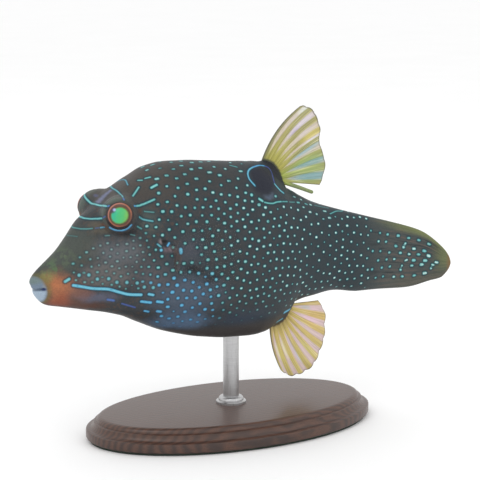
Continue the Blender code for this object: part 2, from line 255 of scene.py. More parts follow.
# The mouth: two fleshy lips round a short slit that droops a little to its corners
LIP_LENGTH = 2.5
slit_z = -SLIT_DROP - 0.2 + 0.2 * beside
off_slit = z - slit_z
on_lips = ramp(x, LIP_LENGTH + 0.5, LIP_LENGTH - 0.5)
lips = (-0.12 + 0.3 * ramp(x, 0.2, 1.4)) * bell(np.abs(off_slit) - 0.75, 0.5) * on_lips
slit = (0.16 + 0.2 * ramp(x, 0.6, 1.6)) * bell(off_slit, 0.22) * ramp(x, 2.3, 1.8)

# The gill opening: a short slanting slit with a soft flap in front, just before the side fin
GILL_TOP, GILL_FOOT = np.array([22.2, 7.7]), np.array([23.6, 4.9])
gill_run = GILL_FOOT - GILL_TOP
gill_length = np.linalg.norm(gill_run)
down_gill = ((x - GILL_TOP[0]) * gill_run[0] + (z - GILL_TOP[1]) * gill_run[1]) / gill_length
behind_gill = ((x - GILL_TOP[0]) * -gill_run[1] + (z - GILL_TOP[1]) * gill_run[0]) / gill_length
behind_gill = behind_gill + 0.25 * np.sin(math.pi * np.clip(down_gill / gill_length, 0, 1))
gill_span = ramp(down_gill, -0.3, 0.5) * ramp(down_gill, gill_length + 0.3, gill_length - 0.5)
gill = (0.22 * bell(behind_gill + 0.55, 0.45) - 0.5 * bell(behind_gill, 0.2)) * gill_span

# The side fin's fleshy root, the tiny nostril, and the tail's rays under the skin
FIN_ROOT_X, FIN_ROOT_Z = 24.6, 4.0
root_lobe = 0.75 * bell(x - FIN_ROOT_X, 0.9) * bell(z - FIN_ROOT_Z, 2.6)
nostril_off = np.hypot(x - 10.9, z - 8.6)
nostril = 0.3 * bell(nostril_off, 0.36) - 0.22 * bell(nostril_off, 0.14)
TAIL_RAYS = 11
tail_top, tail_bottom = smooth(by_turn(BACK), turn(x)), smooth(by_turn(BELLY), turn(x))
tail_height = np.maximum(tail_top - tail_bottom, 0.5)
up_tail = (z - tail_bottom) / tail_height
tail_share = ramp(x, 70, 78)
tail_rays = 0.07 * np.cos(2 * math.pi * TAIL_RAYS * up_tail) * tail_share * ramp(x, 90, 86)
tail_rays += 0.03 * np.cos(4 * math.pi * TAIL_RAYS * up_tail) * ramp(x, 79, 84) * ramp(x, 90, 87)

# Low folds along the flank and the throat, where the loose skin lies over itself
folds = 0.035 * np.sin(0.9 * x + 1.7 * z) * np.sin(0.55 * z - 0.35 * x) * ramp(x, 4, 16) * ramp(x, 70, 55)

relief = lips - slit + gill + root_lobe + nostril + tail_rays * (beside > 0.01) + folds
skin_points = skin_points + normals * relief[:, None]
shape(skin, skin_points)


# The skin's markings. Each is a short run of points on the skin with a half width. Every
# corner of a face then knows the way to the marking nearest that face, and from that the
# shader draws an edge as fine as it is on the fish.

hide = BVHTree.FromPolygons([tuple(p) for p in skin_points], faces)
marks = []  # each (points, half width, strength up to 1, hue from turquoise 0 through blue 0.5 to violet 1)
MARK_STEP = 0.1


def laid_on_skin(line):
    """Close-set points along a line through (x, y, z) places, drawn down onto the skin."""
    line = np.array(line, float)
    if len(line) > 1:
        lengths = np.concatenate([[0], np.cumsum(np.linalg.norm(np.diff(line, axis=0), axis=1))])
        at = np.linspace(0, lengths[-1], max(2, int(lengths[-1] / MARK_STEP)))
        line = np.stack([smooth(list(zip(lengths, axis)), at) for axis in line.T], axis=-1)
    return np.array([hide.find_nearest(Vector(p))[0] for p in line])


def mark(line, half_width, strength=1.0, hue=0.0, sides=2):
    """A marking on the left side, and its twin on the right unless it has one side only."""
    run = laid_on_skin(line)
    marks.append((run, half_width, strength, hue))
    if sides == 2:
        marks.append((run * [1, -1, 1], half_width, strength, hue))


def band(line, half_width, strength=1.0, hue=0.0):
    """A marking that crosses the midline: drawn from the left to the middle, and on to the right."""
    half = np.array(line, float)
    mark(np.concatenate([half, half[-2::-1] * [1, -1, 1]]), half_width, strength, hue, sides=1)


# bars across the head between the eyes, before and behind them, each violet where it meets an eye
mark([(12.4, -5.6, 13.75), (12.5, -4.4, 13.65), (13, -2.3, 13.35), (12.9, -0.6, 13.2), (12.8, 1.9, 13.2),
    (12.7, 3.6, 13.6), (12.7, 4.4, 13.85), (12.85, 5.4, 14.2), (13, 6.3, 14.7)], 0.2, 0.95, 0.08, sides=1)
mark([(12.9, -6.3, 13.8), (12.5, -5.8, 13.8)], 0.18, 0.7, 0.75)
mark([(11.8, -5, 11.5), (11.9, -4, 11.35), (11.7, -3.1, 11.2), (10.7, -2, 11.1), (10, -0.7, 11.15),
    (10, 0.7, 11.15), (10.6, 1.9, 11.05), (11, 2.7, 10.8), (11.4, 3.6, 10.5),
    (11.8, 4.6, 10.3)], 0.19, 0.9, 0.1, sides=1)
mark([(11.95, -6.1, 12), (11.8, -5.4, 11.6)], 0.16, 0.45, 0.85, sides=1)
mark([(12.2, -5.2, 9.9), (11.9, -4.2, 9.75)], 0.16, 0.7, 0.3)
mark([(11.7, -4, 9.7), (11.2, -3.6, 9.6)], 0.12, 0.4, 0.8)
band([(10.7, -3.3, 9.55), (9.75, -2.7, 9.45), (8.9, -1.9, 9.45), (8.35, 0, 9.45)], 0.14, 0.5, 0)
band([(8.3, -2.2, 8.1), (7.3, 0, 8.1)], 0.1, 0.25)
mark([(15.3, -6.9, 14.9), (15.45, -6.2, 15)], 0.17, 0.7, 0.8)
mark([(15.55, -5.8, 15.1), (15.95, -4.1, 15.3), (16.1, -2.6, 15.55), (16.15, -1.4, 15.75), (16.3, 0.3, 15.8),
    (16.8, 2.5, 15.9), (17.3, 4.3, 15.5), (17.4, 6, 14.6)], 0.15, 0.85, 0.15, sides=1)
band([(18, -2.5, 16.7), (18.5, 0, 17.3)], 0.13, 0.75, 0.25)
# bars that fan out behind the eye
mark([(17.9, -4.9, 15.1), (19.4, -4.1, 16.4)], 0.18, 0.9, 0)
mark([(17, -7.6, 13.7), (17.5, -7.5, 13.8)], 0.2, 0.9, 0.5)
mark([(17.6, -7.5, 13.8), (19.3, -6.8, 14), (21.6, -5.9, 14.3)], 0.2, 0.95, 0)
mark([(19.4, -6.4, 12.4), (21.2, -6.5, 12.1)], 0.13, 0.5)
mark([(17.8, -7.7, 11.7), (19.2, -7.2, 11.05), (20.8, -6.9, 10.6)], 0.17, 0.8, 0.15)
mark([(17.5, -7.5, 10), (18.6, -6.8, 9.4)], 0.15, 0.6)
mark([(16.4, -7, 8.6), (17.3, -6.8, 8.3)], 0.14, 0.4)
mark([(12.5, -4.9, 8.35), (13.1, -5.3, 8.4)], 0.14, 0.4)
mark([(12.6, -6.7, 10), (13.4, -7.2, 9.7), (14.4, -7.8, 9.6), (15.4, -8.3, 10),
    (15.9, -8.5, 10.5)], 0.24, 0.62, 0.6)
mark([(19.8, -2.9, 17.5), (20.4, -3.3, 17.5)], 0.17, 0.85)
mark([(21, -3.3, 17.8), (21.9, -3.6, 18)], 0.17, 0.85)
mark([(21.5, -4.9, 16.3), (22.6, -4.8, 16.7)], 0.24)
# the long bar beside the mouth, with what leads up to it and runs on behind
mark([(6.9, -3.4, -0.3), (8.4, -3.8, -0.6), (10.3, -4.4, -1), (12.6, -5.2, -1.2), (14.6, -5.6, -1.8),
    (16.4, -6, -2.3), (18.5, -6.5, -2.5)], 0.29, 1, 0.3)
mark([(5.55, -2.95, 0.45), (6.2, -3.2, 0.85)], 0.28, 0.9, 0.15)
mark([(19.9, -6.8, -2.5), (20.7, -6.9, -2.7)], 0.27, 1, 0.3)
mark([(18.7, -6.1, -3.7), (20.4, -6.4, -4.1)], 0.28, 1, 0.45)
mark([(21.6, -6.7, -4), (22.5, -6.9, -4.2)], 0.3, 1, 0.45)
mark([(12.9, -4.65, -3.2), (13.9, -4.9, -3.4)], 0.27, 0.6, 0.85)
mark([(15.4, -5.2, -4.05), (16.4, -5.4, -4.4), (17.7, -5.6, -4.9)], 0.2, 0.5, 0.9)
mark([(19.6, -5.6, -5.7), (20.3, -5.6, -5.9)], 0.26, 0.75, 0.6)
mark([(21.9, -6, -5.95), (22.5, -6.1, -6.1)], 0.3, 0.8, 0.6)
for place in [(7.9, -3.7, 1.5), (9.5, -4.3, 1.5), (10.9, -4.8, 0.7), (12.8, -5.4, 0.7), (14.2, -5.8, 0),
              (15.9, -6.3, -0.1), (17.7, -6.7, -0.3), (19, -6.8, -1.1), (20.6, -7.2, -1.3)]:
    mark([place], 0.34, 0.62, 0.15)
# the open ring round the dark spot at the dorsal fin, and the wavy line under it
mark([(42.2, -5.3, 15.3), (41.6, -4.9, 16.1), (41.35, -4.6, 16.65), (41.4, -4.1, 17.2), (41.7, -3.6, 17.7),
    (42.3, -3.1, 18.1), (43.1, -2.7, 18.35)], 0.18, 1, 0.3)
mark([(43.1, -2.7, 18.35), (44.1, -2.3, 18.5), (45.2, -1.75, 18.5), (46.2, -1.5, 18.3)], 0.19, 0.95, 0.6)
mark([(46.2, -1.5, 18.3), (46.9, -1.6, 18.05), (47.35, -1.75, 17.6), (47.45, -2.2, 17), (47.2, -3, 16.4),
    (47, -3.9, 15.6), (46.9, -4.2, 15.2)], 0.15, 0.6, 0.95)
mark([(46.9, -4.2, 15.2), (47.45, -4.4, 14.55), (48, -4.4, 13.95), (48.9, -4.2, 13.3)], 0.18, 1, 0.2)
mark([(42.5, -6.4, 13), (43.2, -6.45, 12.55)], 0.24)
mark([(43.55, -6.5, 12.3), (44.5, -6.4, 12.05), (45.6, -6.15, 11.9), (46.5, -5.9, 12.05),
    (47.7, -5.5, 12)], 0.15, 0.95)
mark([(47.7, -5.5, 12), (49.3, -4.8, 11.75)], 0.13, 0.8)
mark([(49.9, -4.5, 11.6), (51.4, -3.7, 11.3)], 0.13, 0.45)
mark([(52.1, -3.5, 11.15), (52.6, -3.3, 11.05)], 0.19, 0.9)
mark([(41.05, -6.2, 13.8)], 0.32)
mark([(54.3, -2.9, 10.8), (54.8, -2.8, 10.6)], 0.16, 0.8)
mark([(38.6, -2.3, 19), (39.9, -2.7, 18.6)], 0.13, 0.7)
mark([(60.2, -2.3, 8.3), (62.3, -1.3, 8.5), (63.7, -0.9, 8.4), (64.6, 0.2, 8.6)], 0.12, 0.8)
mark([(57, -2, 10.2), (60.5, -1.2, 9.2)], 0.13, 0.35)
# beside the gill opening, on the root of the side fin, and at the root of the anal fin
mark([(23.2, -7.8, 6.1), (23.5, -7.8, 6.55)], 0.2, 1, 0.55)
mark([(21.4, -7.5, 6.5), (22, -7.6, 6)], 0.17, 0.9, 0.2)
mark([(22, -7.7, 5.4)], 0.3, 1, 0.3)
mark([(25.6, -8.3, 5.2), (25.6, -8.3, 4.85)], 0.45, 1, 0.35)
mark([(48.8, -2.25, -11.6), (49.8, -2.15, -11.2)], 0.36, 1, 0.3)
mark([(49.6, -3.6, -9.6), (50.3, -3.2, -9.5), (51.1, -2.8, -9.35)], 0.36, 1, 0.35)

# Spots in rows between the rays of the tail fin, longer and larger towards its end
dice = np.random.default_rng(12)
TAIL_ROWS = 8
for row in range(1, TAIL_ROWS - 1):
    for side in (-1, 1):
        across = (row + 0.5) / TAIL_ROWS
        start = 69.8 + 1.2 * (row % 2) + dice.uniform(-0.4, 0.4)
        for spot_x in np.arange(start, 87.4 - 8 * abs(across - 0.45), 2.5):
            at = spot_x + dice.uniform(-0.35, 0.35)
            top, bottom = smooth(by_turn(BACK), turn(at)), smooth(by_turn(BELLY), turn(at))
            height = bottom + (top - bottom) * across + dice.uniform(-0.2, 0.2)
            size = 0.22 + 0.1 * (at - 70) / 17 + dice.uniform(-0.04, 0.04)
            half_run = 0.05 + 0.22 * (at - 70) / 17
            slope = 0.4 * (across - 0.45) * -1
            ends = [(at + run, side * 2, height + slope * run) for run in (-half_run, half_run)]
            mark(ends, size, 0.95, dice.uniform(-0.25, 0.1), sides=1)

# Spots over the rest of the skin, thrown down at random and kept apart. They are small and
# faint on the cheek, large and blue on the lower front of the flank, and gone on the belly.
MOST_DARTS = 45000
face_areas = np.linalg.norm(quad_ways, axis=1)
darts = quad_corners[dice.choice(len(faces), MOST_DARTS, p=face_areas / face_areas.sum())].mean(axis=1)


def spot_kinds(places):
    """How far apart spots lie at these places, their width, strength, hue and run, and where none are."""
    x, y, z = places.T
    beside = np.abs(y)
    back_line, belly_line = smooth(by_turn(BACK), turn(x)), smooth(by_turn(BELLY), turn(x))
    cheek = ramp(x, 22.0, 18.5) * ramp(z, 10.0, 8.0)
    low_front = ramp(z, 3.0, -1.0) * ramp(x, 17.0, 20.0) * ramp(x, 37.0, 30.0)
    low = ramp(z, -3.5, -8.5) * ramp(x, 54, 48)
    high = ramp(back_line - z, 7.0, 3.0) * ramp(x, 56, 48)
    near_back = ramp(back_line - z, 4.5, 1.5) * ramp(x, 70, 60)
    rear = ramp(x, 44.0, 56.0)
    spacing = 1.2 + 0.44 * high + 0.18 * ramp(x, 31, 24) * (1 - high) - 0.38 * cheek - 0.05 * low_front
    spacing += 0.22 * rear * ramp(x, 64, 58) + 0.14 * ramp(x, 60, 66)
    spacing += 0.7 * ramp(z, -8, -11) * ramp(x, 50, 44)
    half_width = 0.26 - 0.06 * cheek + 0.05 * low_front - 0.03 * rear - 0.05 * low * (1 - low_front)
    strength = (1 - 0.5 * cheek) * (1 - 0.2 * near_back) * (1 - 0.6 * low * (1 - 0.6 * low_front))
    strength *= np.where(x < 50, ramp(z, -10.2, -7.8), ramp(z - belly_line, 0.3, 1.6))
    hue = 0.5 * low_front + 0.2 * low * ramp(x, 44, 26) + 0.12 * ramp(x, 40, 26) - 0.2 * rear - 0.2
    bare = (x < 7) | (x > 69.2) | (z > 3.9 + 0.72 * (x - 7)) & (x < 13)
    bare |= (z > 8.3) & (x < 17.5) | (z > 10) & (x < 22)
    bare |= (z < -0.2 - 0.19 * (x - 6.9)) & (x < 19) | (z < -4.6) & (x < 22.5)
    bare |= np.linalg.norm(np.stack([x, beside, z], axis=1) - eye_centre, axis=1) < 4.4
    bare |= np.hypot(x - 44.2, z - 15.9) < 3.6
    bare |= (x > 43.5) & (x < 52) & (z > 30.0 - 0.36 * x)
    bare |= (x > 46.5) & (x < 55) & (z < -8.2 - 0.25 * (x - 50))
    bare |= (np.hypot((x - 27.4) / 1.3, (z - 4.9) / 1.6) < 1) & (beside > 5)
    bare |= (np.hypot((x - 23.0) / 1.3, (z - 6.3) / 1.7) < 1) & (beside > 5)
    bare |= strength < 0.06
    return spacing, half_width, strength, hue, near_back, bare


def tree_of(places):
    tree = KDTree(len(places))
    for k, place in enumerate(places):
        tree.insert(place, k)
    tree.balance()
    return tree


def spread_out(field):
    """One field of every marking, repeated for each point of its run."""
    return np.concatenate([[mark[field]] * len(mark[0]) for mark in marks])


named = tree_of(np.concatenate([run for run, *_ in marks]))
named_widths = spread_out(1)
kept = np.empty((MOST_DARTS, 3))
kept_spacing = np.empty(MOST_DARTS)
count = 0
spacing, *_, bare = spot_kinds(darts)


def clear_of_marks(place, room):
    _, found, away = named.find(place)
    return away - named_widths[found] > 0.6 * room


for k in np.flatnonzero(~bare):
    apart = np.linalg.norm(kept[:count] - darts[k], axis=1)
    if (apart < (kept_spacing[:count] + spacing[k]) / 2).any() or not clear_of_marks(darts[k], spacing[k]):
        continue
    kept[count], kept_spacing[count] = darts[k], spacing[k]
    count += 1
kept = kept[:count]

# then the spots ease away from their neighbours, which evens out the gaps between them
EASING_ROUNDS = 5
for _ in range(EASING_ROUNDS):
    spacing, *_ = spot_kinds(kept)
    apart = kept[:, None] - kept[None]
    gap = np.linalg.norm(apart, axis=2) + 1e-6
    np.fill_diagonal(gap, np.inf)
    push = np.clip(1.35 - gap / spacing[:, None], 0, 0.5) / gap
    moved = kept + 0.3 * spacing[:, None] * (apart * push[:, :, None]).sum(axis=1)
    moved = np.array([hide.find_nearest(Vector(p))[0] for p in moved])
    *_, bare = spot_kinds(moved)
    held = bare | [not clear_of_marks(p, s) for p, s in zip(moved, spacing)]
    kept = np.where(held[:, None], kept, moved)
for place, half, strong, tint, stretch in zip(kept, *spot_kinds(kept)[1:5]):
    width = half * dice.uniform(0.86, 1.12) * (0.62 if dice.random() < 0.1 else 1)
    run = dice.uniform(0.0, 0.09) + 0.28 * stretch * dice.random()
    ends = [place - [run, 0, 0], place + [run, 0, 0]]
    strong *= dice.uniform(0.8, 1.0)
    marks.append((laid_on_skin(ends), width, strong, min(tint + dice.uniform(-0.05, 0.1), 1)))

nearest = tree_of(np.concatenate([run for run, *_ in marks]))
all_widths = spread_out(1)
owner = np.repeat(np.arange(len(marks)), [len(run) for run, *_ in marks])
face_sides = np.array([face.loop_total for face in skin.data.polygons])
face_mark = np.empty(len(face_sides), int)
for k, face in enumerate(skin.data.polygons):
    centre = skin_points[list(face.vertices)].mean(axis=0)
    _, found, _ = min(nearest.find_n(centre, 4), key=lambda near: near[2] - all_widths[near[1]])
    face_mark[k] = owner[found]
corner_mark = np.repeat(face_mark, face_sides)
corners = skin_points[[loop.vertex_index for loop in skin.data.loops]]
way = np.empty((len(corners), 3), np.float32)
by_mark = np.argsort(corner_mark, kind="stable")
for group in np.split(by_mark, np.flatnonzero(np.diff(corner_mark[by_mark])) + 1):
    run = marks[corner_mark[group[0]]][0]
    gaps = run[None] - corners[group][:, None]
    way[group] = gaps[np.arange(len(group)), np.linalg.norm(gaps, axis=2).argmin(axis=1)]
measure = np.array([kind for _, *kind in marks], np.float32)[corner_mark]
for name, values in [("mark_way", way), ("mark_measure", measure)]:
    attribute = skin.data.attributes.new(name, "FLOAT_VECTOR", "CORNER")
    attribute.data.foreach_set("vector", values.ravel())
attribute = skin.data.attributes.new("tail_share", "FLOAT", "POINT")
attribute.data.foreach_set("value", up_tail.astype(np.float32))


class Wire:
    """A socket of a material's nodes. Arithmetic on it adds Math nodes, and node() adds any other node."""

    def __init__(self, socket):
        self.socket = socket

    def node(self, kind, settings, sockets, out=0):
        tree = self.socket.id_data
        made = tree.nodes.new("ShaderNode" + kind)
        for name, value in settings.items():
            setattr(made, name, value)
        for name, value in sockets.items():
            if isinstance(value, Wire):
                tree.links.new(value.socket, made.inputs[name])
            else:
                made.inputs[name].default_value = value
        return Wire(made.outputs[out])

    def math(self, operation, *values):
        return self.node("Math", {"operation": operation}, dict(enumerate(values)))

    def __add__(self, other):
        return self.math("ADD", self, other)

    def __sub__(self, other):
        return self.math("SUBTRACT", self, other)

    def __mul__(self, other):
        return self.math("MULTIPLY", self, other)

    def __truediv__(self, other):
        return self.math("DIVIDE", self, other)

    def __rsub__(self, other):
        return self.math("SUBTRACT", other, self)

    __radd__ = __add__
    __rmul__ = __mul__

    def step(self, low, high):
        """0 at low, 1 at high and beyond, and an S between them."""
        settings = {"interpolation_type": "SMOOTHSTEP"}
        if low < high:
            return self.node("MapRange", settings, {"Value": self, "From Min": low, "From Max": high})
        return 1 - self.step(high, low)

    def __abs__(self):
        return self.math("ABSOLUTE", self)

    def vector(self, operation, *values, out=0):
        return self.node("VectorMath", {"operation": operation}, dict(enumerate((self, *values))), out)

    def length(self):
        return self.vector("LENGTH", out=1)

    def parts(self):
        split = self.node("SeparateXYZ", {}, {0: self}).socket.node
        return [Wire(socket) for socket in split.outputs]

    def noise(self, scale, detail=3.0, roughness=0.5, out=0):
        sockets = {"Vector": self, "Scale": scale, "Detail": detail, "Roughness": roughness}
        return self.node("TexNoise", {}, sockets, out)

    def near(self, place, size, core=0.2):
        """1 within the core of an ellipsoid round a place, and 0 outside it."""
        return self.vector("SUBTRACT", place).vector("DIVIDE", size).length().step(1.0, core)

    def blend(self, low, high):
        """One colour where this is 0 and another where it is 1, as wires or as 0 to 255 screen values."""
        low, high = (colour if isinstance(colour, Wire) else paint(*colour) for colour in (low, high))
        return self.node("Mix", {"data_type": "RGBA"}, {0: self, 6: low, 7: high}, 2)

    def over(self, colour, share):
        """This colour with another laid over it."""
        return share.blend(self, colour)

    def layered(self, layers):
        """This colour with others laid over it in turn, each a colour and its share."""
        for colour, share in layers:
            self = self.over(colour, share)
        return self

    def patched(self, at, patches):
        """The same with soft patches: each a colour, a place, its reach, its full core and its share."""
        return self.layered((colour, at.near(*where) * share) for colour, *where, share in patches)


def paint(red, green, blue):
    """A colour from its 0 to 255 screen values."""
    share = np.array([red, green, blue]) / 255
    linear = np.where(share <= 0.04045, share / 12.92, ((share + 0.055) / 1.055) ** 2.4)
    return (*linear.tolist(), 1.0)


def joined(*parts):
    """Two or three wires as the parts of one vector."""
    return parts[0].node("CombineXYZ", {}, dict(enumerate(parts)))


def new_finish(name, **constants):
    """A material whose shader has these values set, and a way to wire the shader up."""
    material = bpy.data.materials.new(name)
    material.use_nodes = True
    shader = material.node_tree.nodes["Principled BSDF"]
    for socket, value in constants.items():
        shader.inputs[socket.replace("_", " ")].default_value = value

    def feed(socket, wire):
        material.node_tree.links.new(wire.socket, shader.inputs[socket])

    return material, feed


def read_attribute(material, name, out="Vector"):
    reader = material.node_tree.nodes.new("ShaderNodeAttribute")
    reader.attribute_name = name
    return Wire(reader.outputs[out])


def in_fish_mm(material):
    """Object coordinates as millimetres back, right and up from the tip of the snout."""
    place = Wire(material.node_tree.nodes.new("ShaderNodeTexCoord").outputs["Object"])
    return place.vector("SUBTRACT", (snout_x, 0, mouth_height)).vector("MULTIPLY", (1 / MM,) * 3)


def bumped(wire, feed, height, strength, distance):
    feed("Normal", wire.node("Bump", {}, {"Strength": strength, "Distance": distance * MM, "Height": height}))


hide_finish, feed = new_finish("spotted hide", Coat_Weight=0.05, Coat_Roughness=0.3, Specular_IOR_Level=0.2)
at = in_fish_mm(hide_finish)
back_along, off_middle, up = at.parts()
off_middle = abs(off_middle)
at_half = joined(back_along, off_middle, up)  # the same on both sides

# the ground colour: dark grey-brown, mottled, bluer to the rear
ground = at.noise(0.35, 4, 0.6)
speckle = at.noise(3.2, 2, 0.6)
colour = ground.step(0.35, 0.65).blend((50, 56, 60), (58, 61, 63))
colour = colour.over((43, 55, 60), back_along.step(36, 58) * 0.9)

colour = colour.over((92, 68, 54), at.noise(1.7, 3, 0.6).step(0.5, 0.66) * back_along.step(44, 20) * 0.45)

# soft patches laid over it, each a colour, a place, how far it reaches, its full core, and its share
drift = at.noise(0.3, out=1).vector("SUBTRACT", (0.5,) * 3).vector("MULTIPLY", (3,) * 3)
at_patch = at_half.vector("ADD", drift)
PATCHES = [
    ((71, 67, 63), (20, 3, 17), (13, 8, 7), 0.3, 0.9),  # nape
    ((86, 87, 79), (9.5, 4, 6), (4.4, 4, 3.6), 0.1, 0.6),  # between the forehead and the cheek
    ((56, 57, 56), (32, 4, 18), (12, 6, 5), 0.2, 0.6),  # back
    ((71, 77, 72), (6, 1, 6), (9, 6, 6.5), 0.4, 0.95),  # snout
    ((90, 85, 74), (12, 4.2, 9.8), (3.6, 3.5, 2.4), 0.2, 0.8),  # before the eye
    ((99, 97, 96), (12.5, 5, 1.2), (7, 5, 3.4), 0.3, 0.85),  # under the cheek
    ((95, 98, 102), (14.7, 6, 5.2), (6.8, 5, 4), 0.15, 0.95),  # cheek
    ((56, 66, 75), (27, 8, 3), (7, 5, 7), 0.2, 0.7),  # behind the gill opening
    ((78, 91, 108), (27, 8, -3.5), (11, 6, 5), 0.2, 0.8),  # low flank
    ((88, 110, 136), (27, 5, -8.8), (8.5, 6, 2.8), 0.2, 0.8),  # painted blue sheen before the belly
    ((76, 94, 116), (27, 6, -6.8), (6.5, 5, 2.4), 0.1, 0.55),
    ((88, 88, 93), (20.5, 7, 0.5), (6, 6, 5), 0.1, 0.65),
    ((56, 68, 84), (39, 5, -9.2), (9, 6, 3.6), 0.1, 0.7),
    ((46, 44, 44), (12, 0, -7), (12, 5, 2.6), 0.3, 0.9),  # throat
    ((86, 98, 90), (14.2, 6.2, 13), (3.8, 4.6, 3.4), 0.3, 0.92),  # orbit
    ((10, 16, 32), (14.9, -0.4, 14.4), (2.8, 2, 2.2), 0.2, 0.85),  # hollow between the orbits
    ((38, 36, 38), (15.4, 7.4, 9), (3.4, 2.6, 1.6), 0.1, 0.7),  # shadow under the eye
    ((120, 68, 44), (12.2, 5.4, 10.6), (1.1, 1.6, 1.2), 0.1, 0.5),
    ((96, 60, 40), (18.2, 6.8, 12.7), (1.6, 2.4, 0.9), 0.2, 0.35),
    ((80, 90, 86), (20, 6.8, 10.6), (3.6, 3, 3.4), 0.05, 0.7),
    ((82, 82, 94), (27, 8.3, 4.8), (3.4, 3, 3.6), 0.05, 0.5),  # under the side fin
    # the next two patches are painted shadow of the side fin on the flank under it
    ((26, 24, 25), (28.6, 8.6, 1.4), (3, 3, 1.2), 0.2, 0.7),
    ((28, 28, 32), (31.8, 8.6, -0.4), (3.6, 3, 1.1), 0.1, 0.5),
    ((92, 68, 58), (25.2, 8.2, 4.4), (1.2, 3, 2.6), 0.1, 0.4),
    ((33, 36, 48), (44.3, 4, 16.2), (3.7, 5.5, 3.9), 0.5, 0.95),  # dark spot and dark fin roots
    ((26, 29, 40), (49.4, 0, 16.9), (4.4, 4.4, 4.2), 0.6, 0.9),
    ((92, 108, 130), (45.2, 5.8, 13.3), (1.8, 2, 1), 0.1, 0.5),
    ((14, 18, 24), (50.5, 0, -10.6), (4.2, 4, 3), 0.3, 0.9),
    ((98, 100, 120), (11.5, 4, -2.7), (6.5, 4, 1.5), 0.2, 0.6),  # behind the mouth
    ((92, 60, 48), (9, 3, -4.4), (6, 4, 1.6), 0.2, 0.75),
    ((120, 84, 78), (8, 3.4, -1.6), (3.2, 4, 2), 0.2, 0.6),
]
colour = colour.patched(at_patch, PATCHES)
# painted shade: the underside of the belly is painted a dull grey, darker than the blue flank above it
belly = up.step(-9.2, -11.4) * back_along.step(18, 26) * back_along.step(56, 50)
colour = colour.over((70, 67, 66), belly * 0.9)
# a painted violet highlight runs back through the hollow, in soft dabs that overlap
colour = colour.patched(at, [
    ((134, 142, 178), (13.3 + 2.4 * run, 0.1, 13.6 + 1.9 * run), (0.75, 1.8 - 0.8 * run, 0.75), 0.1, 0.5)
    for run in (0.0, 0.25, 0.5, 0.75, 1.0)
])
# and a shorter, dimmer painted highlight beside it on the right
colour = colour.over((92, 98, 136), at.near((14.0, 2.7, 14.4), (0.6, 1.2, 0.5), 0.1) * 0.5)
colour = colour.patched(at_half, [
    ((60, 56, 52), eye_centre, (3.25,) * 3, 0.85, 0.6),  # the lid, darker than the orbit round it
    ((134, 122, 124), (22, 7.6, 6.9), (0.7, 2, 0.8), 0.1, 0.8),  # raw pinkish rim of the gill opening
    ((130, 114, 120), (23.4, 7.9, 5.5), (2, 2, 0.9), 0.1, 0.7),
    ((24, 24, 26), (22.8, 7.6, 6.9), (0.8, 2, 0.45), 0.2, 1),  # painted shade within it
])

# the mouth: orange and olive round pale lips, which are teal in front and slate above the slit
dapple = at.noise(0.9, 2, 0.5).step(0.42, 0.62)
colour = colour.patched(at_patch, [
    ((122, 88, 76), (6.8, 2.5, -1.4), (5.4, 4, 3.8), 0.1, 0.85),
    ((96, 112, 84), (5.5, 1.5, 4.5), (4.5, 3, 3.2), 0.1, dapple * 0.5),
    ((172, 108, 72), (4.4, 2, -0.4), (3.9, 4, 4.2), 0.1, 0.7 + 0.5 * speckle),
    ((150, 76, 52), (4.6, 2, -3.4), (3.4, 4, 2.4), 0.05, 0.6),
    ((128, 124, 76), (3, 2, 1.6), (2.4, 3, 1.9), 0.2, 0.45 + 0.4 * dapple),
    ((80, 108, 74), (3.6, 2, 2.9), (3, 3, 1.5), 0.2, dapple * 0.8),
])
colour = colour.over((112, 108, 62), at_half.near((1.3, 0.8, -0.9), (2.8, 3.2, 3.4), 0.7) * 0.5)
lip_ring = at_half.near((0.6, 0.6, -1.2), (2.45, 3.2, 2.85), 0.7)
colour = colour.layered([
    ((110, 126, 144), lip_ring),
    ((108, 124, 124), lip_ring * (up - back_along * 0.35).step(-0.6, 0.4)),
    ((138, 142, 150), lip_ring * at_half.near((2.2, 1.8, -0.3), (0.9, 1.6, 0.9), 0.1) * 0.8),
    ((153, 171, 188), lip_ring * up.step(-0.75, -1.35)),
    ((110, 124, 124), lip_ring * up.step(-2.7, -3.7) * 0.8),
])

# the tail fin: brown-grey, streaked along its rays, olive along its upper and rear edge
tail_share = read_attribute(hide_finish, "tail_share", "Fac")
streak_place = joined(back_along * 0.12, tail_share * 26, off_middle * 0.1)
streaks = streak_place.noise(1.0, 3, 0.6)
tail = back_along.step(64, 76)
colour = colour.layered([
    ((80, 84, 80), tail * (0.3 + 0.6 * streaks)),
    ((112, 88, 78), tail * streaks.step(0.5, 0.68) * back_along.step(68, 76) * 0.5),
    ((24, 28, 32), tail * streaks.step(0.42, 0.32) * 0.7),
])
edge = tail_share.step(0.85, 0.97) * back_along.step(69, 82)
tip = back_along.step(84.5, 88.5) * up.step(-7.5, -3.0)
colour = colour.layered([
    ((120, 127, 80), edge.math("MAXIMUM", edge, tip * 0.8) * (0.45 + 0.6 * streaks)),
    ((92, 90, 78), tail_share.step(0.24, 0.10) * back_along.step(70, 80) * 0.6),
    ((128, 94, 58), back_along.step(88.6, 89.7) * 0.7),
])

